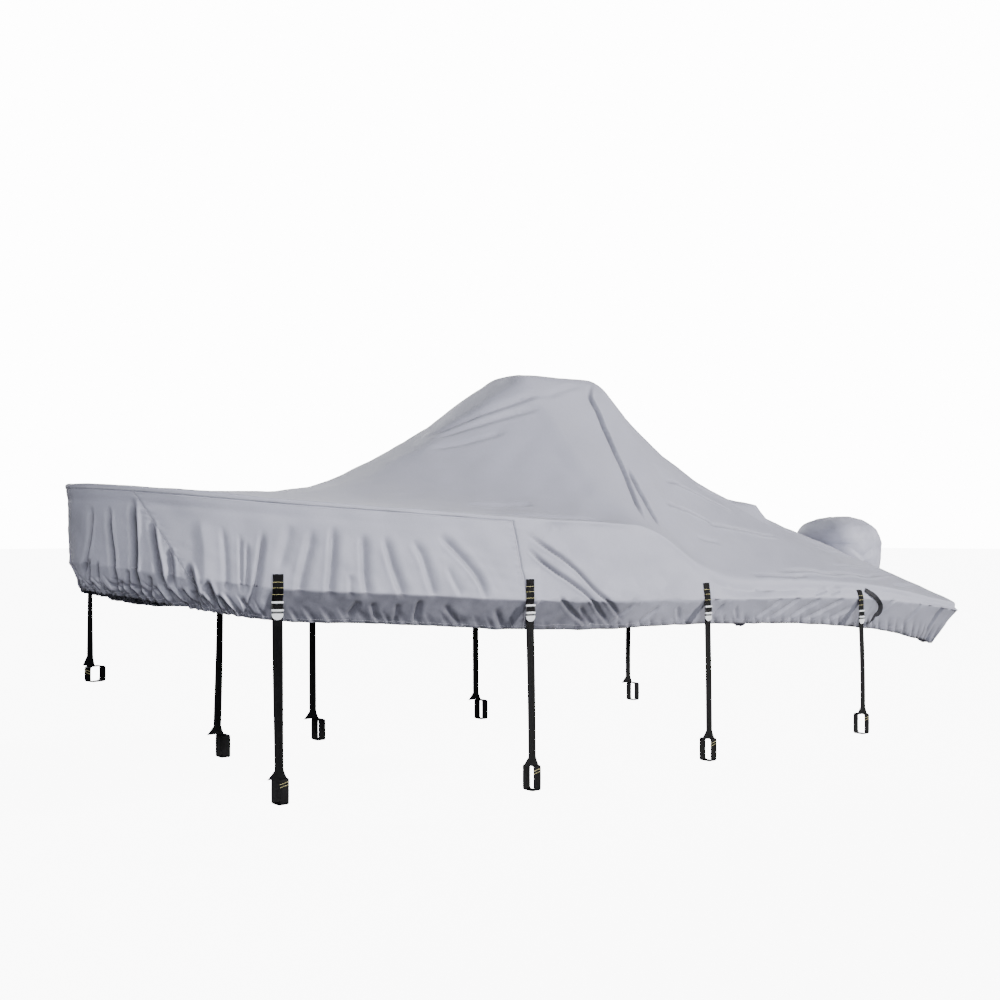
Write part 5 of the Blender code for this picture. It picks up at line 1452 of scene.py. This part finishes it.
def buildBuckle(name, base, across, down, out):
    points, faces, slots = [], [], []
    for slot, kind in enumerate(("pale", "dark", "webbing")):
        for shape in buckle[kind]:
            part = bucklePart(*shape)
            bmesh.ops.recalc_face_normals(part, faces=part.faces)
            first = len(points)
            points += [base + (across * v.co.x + down * v.co.y + out * v.co.z) / 1000
                       for v in part.verts]
            part.verts.index_update()
            faces += [[first + v.index for v in face.verts] for face in part.faces]
            slots += [slot] * len(part.faces)
            part.free()
    if across.cross(down).dot(out) < 0:
        faces = [face[::-1] for face in faces]
    piece = addPiece(name, points, faces, None, None, (palePlastic, darkPlastic, webbing), 40)
    piece.data.polygons.foreach_set("material_index", slots)
    return piece


def endLoop(name, corner, along, inward, height):
    depth = strap["loopDepth"] + strap["thick"]
    height += strap["thick"]
    bend = strap["loopBend"]
    down = Vector((0, 0, -1))
    turns = ((bend, bend, 90), (bend, height - bend, 180), (depth - bend, height - bend, 270),
             (depth - bend, bend, 0))
    corners = []
    for reachIn, reachDown, first in turns:
        centre = corner + inward * reachIn + down * reachDown
        for step in range(6):
            angle = math.radians(first + 90 * step / 5)
            out = inward * math.cos(angle) - down * math.sin(angle)
            corners.append((centre + out * bend, out))
    stations = []
    for (place, out), (after, nextOut) in zip(corners, corners[1:] + corners[:1]):
        pieces = max(1, round((after - place).length / strap["loopStep"]))
        for k in range(pieces):
            t = k / pieces
            facing = out.lerp(nextOut, t).normalized()
            sag = math.sin(math.pi * t) * strap["loopSag"] if pieces > 1 else 0.0
            stations.append((place.lerp(after, t) + facing * sag, along * strap["width"],
                             facing * strap["thick"]))
    return band(name, stations, webbing, closed=True)


threadLines = {"olive": [], "grey": []}      # whose they are and their places
strapPieces = {}


def flareStations(end, face, outward, straight, shift, width, length):
    # the web's lower end, folded into a triangle over the loop
    stations = []
    for share in np.linspace(0.0, 1.0, strap["flareSteps"]):
        spread = strap["width"] + (width - strap["width"]) * share ** strap["flarePower"]
        middle = straight.lerp(end, share) + face * shift * share
        stations.append((middle, face * spread, outward * strap["thick"]))
    return stations


def buildStrap(label, side, edgeX, top, loopX, loopY):
    run = np.array([runAt(edgeX)])
    flip = Vector((1, -side, 1))
    base = Vector((*planAt(run)[0], 0.0)) * flip
    out = Vector((*planNormal(run)[0], 0.0)) * flip
    aft = out.cross(Vector((0, 0, side)))
    edgeZ = float(readTable(edgeHeights, 2, np.array([edgeX]))[0])
    patchEnd = top - strap["patchLength"]
    atEdge = max(clothReach(base, out, aft, edgeZ + 0.003 * step, strap["width"])
                 for step in range(-8, 5))
    stations = []
    for share in np.linspace(0.0, 1.0, strap["patchSteps"] + 1):
        z = top + (patchEnd - top) * share
        reach = clothReach(base, out, aft, z, strap["width"])
        if z < edgeZ + strap["patchOver"]:
            reach = atEdge
        stations.append([reach + strap["patchClear"] + strap["patchThick"] / 2, z])
    lifts = np.convolve(np.pad([s[0] for s in stations], 2, mode="edge"), np.ones(5) / 5, "valid")
    lifts = np.maximum(lifts, [s[0] for s in stations])
    rows = [(base + out * float(lift) + Vector((0, 0, z)), aft * strap["width"],
             out * strap["patchThick"]) for lift, (reach, z) in zip(lifts, stations)]
    patch = band("strapPatch_" + label, rows, webbing)
    for share in strap["stitchPlaces"]:
        middle = rows[round(share * strap["patchSteps"])][0]
        middle = middle + out * (strap["patchThick"] / 2 + strap["stitchLift"])
        line = [middle + aft * (strap["stitchLength"] * (k / 8 - 0.5)) for k in range(9)]
        threadLines["olive"].append((label, line))

    start = patchEnd - strap["gap"]
    webBack = atEdge + strap["gap"]
    buckleBack = webBack + strap["thick"] + strap["gap"]
    buckleBase = base + out * buckleBack + Vector((0, 0, start))
    made = buildBuckle("strapBuckle_" + label, buckleBase, aft, Vector((0, 0, -1)), out)

    webTop = base + out * (webBack + strap["thick"] / 2)
    webTop = webTop + Vector((0, 0, min(start, edgeZ) - strap["webStart"]))
    free = webTop - Vector((0, 0, strap["webStraight"]))
    end = Vector((loopX, loopY * side, strap["loopTop"] + strap["thick"] + strap["gap"]))
    flareStart = end + (webTop - end).normalized() * strap["flareLength"]
    stations = [(webTop, aft * strap["width"], out * strap["thick"])]
    chance = np.random.default_rng(len(label) * 17 + int(label[-1]))
    bow = chance.uniform(-strap["webBow"], strap["webBow"])
    for share in np.linspace(0.0, 1.0, strap["webSteps"]):
        t = float(smoothStep(share))
        face = aft.lerp(Vector((1, 0, 0)), t).normalized()
        outward = Vector((-face.y * side, face.x * side, 0.0))
        middle = free.lerp(flareStart, float(share)) + outward * bow * math.sin(math.pi * share)
        stations.append((middle, face * strap["width"], outward * strap["thick"]))
    stations += flareStations(end, face, outward, flareStart, strap["flareShift"], strap["flareWidth"],
                              strap["flareLength"])[1:]
    web = band("strapWeb_" + label, stations, webbing)
    inward = Vector((0, -side, 0))
    corner = Vector((loopX + strap["loopShift"], end.y, strap["loopTop"] + strap["thick"] / 2))
    corner -= inward * strap["loopLanding"]
    loop = endLoop("strapLoop_" + label, corner, face, inward, strap["loopHeight"])
    addLoopStitches(label, corner, face, inward, strap["loopStitches"], strap["loopSlant"])
    strapPieces[label] = {"patch": patch, "buckle": made, "web": web, "loop": loop}


def addLoopStitches(label, corner, face, inward, stitches, slant):
    # two slanted lines near the top of the loop's outer face
    inset = inward * (strap["thick"] / 2 + strap["stitchLift"])
    for drop in stitches:
        line = []
        for share in np.linspace(-0.5, 0.5, 9):
            place = corner + face * float(strap["loopStitchLength"] * share)
            line.append(place + Vector((0, 0, float(slant * share) - drop)) - inset)
        threadLines["olive"].append((label, line))


for label, row in strapRows.items():
    buildStrap(label, *row)
print("eight straps with patches, buckles, webs and loops")

bowStrap = {
    "loopTop": -1.545, "loopHeight": 0.070, "from": 0.84, "clear": 0.0066,
    "flareWidth": 0.100, "flareShift": 0.010, "facing": (0.20, -0.98, 0.0),
    "loopStitches": (0.018, 0.030), "loopSlant": -0.008,
}


def buildBowStrap():
    width, thick = Vector((0, -1, 0)), Vector((strap["thick"], 0, 0))
    stations = []
    for down in np.linspace(bowStrap["from"], 1.0, 5):
        place = coverPoint(np.array([0.0]), np.array([2.0 + down]))[0]
        front = place[0] + drape["clothThickness"] + bowStrap["clear"]
        stations.append((Vector((front, 0, place[2])), width * strap["width"], thick))
    hem = stations[-1][0]
    facing = Vector(bowStrap["facing"]).normalized()
    across = Vector((-facing.y, facing.x, 0))
    end = Vector((hem.x, 0, bowStrap["loopTop"] + strap["thick"] + strap["gap"]))
    flareStart = end + Vector((0, 0, strap["flareLength"]))
    for share in np.linspace(0.1, 1.0, 10):
        turned = width.lerp(facing, float(share)).normalized()
        stations.append((hem.lerp(flareStart, float(share)), turned * strap["width"],
                         Vector((-turned.y, turned.x, 0)) * strap["thick"]))
    stations += flareStations(end, facing, across, flareStart, -bowStrap["flareShift"],
                              bowStrap["flareWidth"], strap["flareLength"])[1:]
    web = band("bowStrapWeb", stations, webbing)
    corner = Vector((end.x, 0, bowStrap["loopTop"] + strap["thick"] / 2))
    corner -= across * strap["loopLanding"]
    loop = endLoop("bowStrapLoop", corner, facing, across, bowStrap["loopHeight"])
    addLoopStitches("bow", corner, facing, across, bowStrap["loopStitches"], bowStrap["loopSlant"])
    return web, loop


bowWeb, bowLoop = buildBowStrap()

# The loose tape beside the last port strap
sternTape = {
    "width": 0.030, "thick": 0.0015, "clear": 0.0010, "steps": 40,
    # x, height, stand-off from the edge's line, turn in degrees. No stand-off: it lies on the cloth
    "rows": [(1.831, -1.312, None, -15), (1.872, -1.338, 0.008, 0), (1.914, -1.366, 0.012, 25),
             (1.945, -1.398, 0.016, 50), (1.955, -1.426, 0.018, 60), (1.946, -1.460, 0.012, 40),
             (1.922, -1.485, -0.006, 0), (1.930, -1.515, -0.030, 25), (1.958, -1.542, None, 0)],
}


def buildSternTape():
    rows = []
    for x, z, off, turn in sternTape["rows"]:
        run = np.array([runAt(x)])
        out = Vector((*planNormal(run)[0], 0.0))
        base = Vector((*planAt(run)[0], 0.0))
        if off is None:
            aft = out.cross(Vector((0, 0, -1)))
            off = sternTape["clear"] + sternTape["thick"] / 2 + max(
                clothReach(base, out, aft, z + slant * sternTape["width"], sternTape["width"])
                for slant in (-0.4, 0.0, 0.4))
        place = base + out * off + Vector((0, 0, z))
        rows.append((*place, *out, turn))
    last = sternTape["steps"]
    rows = smoothPath(rows, last + 1)
    stations = []
    for n, row in enumerate(rows):
        path = Vector(rows[min(n + 1, last)][:3] - rows[max(n - 1, 0)][:3]).normalized()
        out = Vector(row[3:6]).normalized()
        flat = path.cross(out).normalized()
        turn = math.radians(float(row[6]))
        across = (flat * math.cos(turn) + path.cross(flat) * math.sin(turn)).normalized()
        thick = path.cross(across) * sternTape["thick"]
        stations.append((Vector(row[:3]), across * sternTape["width"], thick))
    return band("sternTape", stations, tapeCloth)


tape = buildSternTape()
print("bow strap and stern tape")


# Stitches, laid along lines of thread by Geometry Nodes

stitch = {
    "olive": {"length": 0.0058, "radius": 0.00115, "pitch": 0.0064, "seed": 3},
    "grey": {"length": 0.0062, "radius": 0.00075, "pitch": 0.0085, "seed": 4},
    "seamLift": 0.0006,
}


def sewGrid(owner, grids, side, column=None, row=None, columns=slice(None), rows=slice(None)):
    # a line of thread on one column or row of a panel, or on a stretch of it
    places, normals = grids[side]
    chosen = (column, rows) if column is not None else (columns, row)
    line = places[chosen] + normals[chosen] * stitch["seamLift"]
    threadLines["grey"].append((owner, [Vector(p) for p in line]))


def nearest(values, mark):
    return int(np.argmin(np.abs(values - mark)))


hemRow = -3                       # the row of each hanging panel that its hem is sewn along
mainSeam, mainLast = (nearest(mainColumns, marks[mark]) for mark in ("sideSeam", "transomEnd"))
dropStart = nearest(mainRows, 2.0)
for side, label in ((-1, "port"), (1, "starboard")):
    for place in ({"column": 1}, {"column": -2}, {"row": 1}, {"row": hemRow}):
        sewGrid("side_" + label, sidePanels[label][1], side, **place)
    sewGrid("main", mainGrids, side, column=mainSeam + 1, rows=slice(dropStart, None))
    sewGrid("main", mainGrids, side, row=dropStart - 1, columns=slice(0, mainSeam + 1))
    sewGrid("main", mainGrids, side, row=hemRow, columns=slice(mainSeam, mainLast))
    for place in ({"column": -3}, {"row": 1}, {"row": hemRow}):
        sewGrid("bow", bowGrids, side, **place)
for level in hood["stitchRows"]:
    ring = nearest(hoodRows, level)
    line = [Vector(p) for p in hoodGrid[ring] + hoodNormals[ring] * stitch["seamLift"]]
    threadLines["grey"].append(("hood", line + line[:1]))


def stitchTree(kind, material):
    sizes = stitch[kind]
    tree = bpy.data.node_groups.new(kind + "Stitches", "GeometryNodeTree")
    face = tree.interface
    face.new_socket("Geometry", in_out="INPUT", socket_type="NodeSocketGeometry")
    named = {}
    for label, default in (("Stitch length", sizes["length"]), ("Thread radius", sizes["radius"]),
                           ("Stitch pitch", sizes["pitch"])):
        socket = face.new_socket(label, in_out="INPUT", socket_type="NodeSocketFloat")
        socket.default_value = default
        named[label] = socket.identifier
    seed = face.new_socket("Seed", in_out="INPUT", socket_type="NodeSocketInt")
    seed.default_value = sizes["seed"]
    face.new_socket("Geometry", in_out="OUTPUT", socket_type="NodeSocketGeometry")
    inputs = tree.nodes.new("NodeGroupInput")
    points = addNode(tree, "GeometryNodeCurveToPoints", {
        "Curve": inputs.outputs["Geometry"], "Length": inputs.outputs["Stitch pitch"]}, mode="LENGTH")
    thread = addNode(tree, "GeometryNodeMeshCylinder", {
        "Vertices": 6, "Side Segments": 1, "Radius": inputs.outputs["Thread radius"],
        "Depth": inputs.outputs["Stitch length"]}, fill_type="TRIANGLE_FAN")
    uneven = addNode(tree, "FunctionNodeRandomValue", {
        "Min": (0.85, 0.85, 0.85), "Max": (1.1, 1.1, 1.05), "Seed": inputs.outputs["Seed"]},
        data_type="FLOAT_VECTOR")
    laid = addNode(tree, "GeometryNodeInstanceOnPoints", {
        "Points": points.outputs["Points"], "Instance": thread.outputs["Mesh"],
        "Rotation": points.outputs["Rotation"], "Scale": uneven.outputs["Value"]})
    real = addNode(tree, "GeometryNodeRealizeInstances", {"Geometry": laid.outputs["Instances"]})
    coloured = addNode(tree, "GeometryNodeSetMaterial", {
        "Geometry": real.outputs["Geometry"], "Material": material})
    outputs = tree.nodes.new("NodeGroupOutput")
    tree.links.new(coloured.outputs["Geometry"], outputs.inputs["Geometry"])
    return tree, named


trees = {"olive": stitchTree("olive", oliveThread), "grey": stitchTree("grey", greyThread)}


def sewLines(name, kind, lines):
    curve = bpy.data.curves.new(name + "Line", "CURVE")
    curve.dimensions = "3D"
    for line in lines:
        spline = curve.splines.new("POLY")
        spline.points.add(len(line) - 1)
        for point, place in zip(spline.points, line):
            point.co = (*place, 1.0)
    guide = bpy.data.objects.new(name + "Line", curve)
    bpy.context.scene.collection.objects.link(guide)
    tree, named = trees[kind]
    nodes = guide.modifiers.new("stitches", "NODES")
    nodes.node_group = tree
    nodes[named["Stitch length"]] = stitch[kind]["length"]
    nodes[named["Thread radius"]] = stitch[kind]["radius"]
    nodes[named["Stitch pitch"]] = stitch[kind]["pitch"]
    bpy.context.view_layer.update()
    shown = guide.evaluated_get(bpy.context.evaluated_depsgraph_get())
    mesh = bpy.data.meshes.new_from_object(shown)
    piece = bpy.data.objects.new(name, mesh)
    bpy.context.scene.collection.objects.link(piece)
    bpy.data.objects.remove(guide, do_unlink=True)
    bpy.data.curves.remove(curve)
    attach(piece, body)
    return piece


sewn = {
    "side_port": "side_panel_port", "side_starboard": "side_panel_starboard",
    "main": "main_panel", "bow": "bow_panel", "hood": "motor_hood",
}
for label, slot in sewn.items():
    lines = [line for owner, line in threadLines["grey"] if owner == label]
    sewLines("seamStitches_" + label, "grey", lines)
for label in list(strapRows) + ["bow"]:
    lines = [line for owner, line in threadLines["olive"] if owner == label]
    piece = sewLines("strapStitches_" + label, "olive", lines)


# What each piece stands for

def standFor(piece, node):
    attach(piece, body)
    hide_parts(node)


sheets = {
    "main_panel": mainPanel, "side_panel_port": sidePanels["port"][0],
    "side_panel_starboard": sidePanels["starboard"][0], "bow_panel": bowPanel,
    "motor_hood": motorHood,
}
for node, piece in sheets.items():
    standFor(piece, node)
standFor(tape, "stern_tape")
standFor(bowWeb, "bow_strap_web")
standFor(bowLoop, "bow_strap_loop")
for label, pieces in strapPieces.items():
    for kind, piece in pieces.items():
        standFor(piece, f"strap_{kind}_{label}")

for piece in sheets.values():
    if piece is mainPanel:
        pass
    elif piece is motorHood:
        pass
    else:
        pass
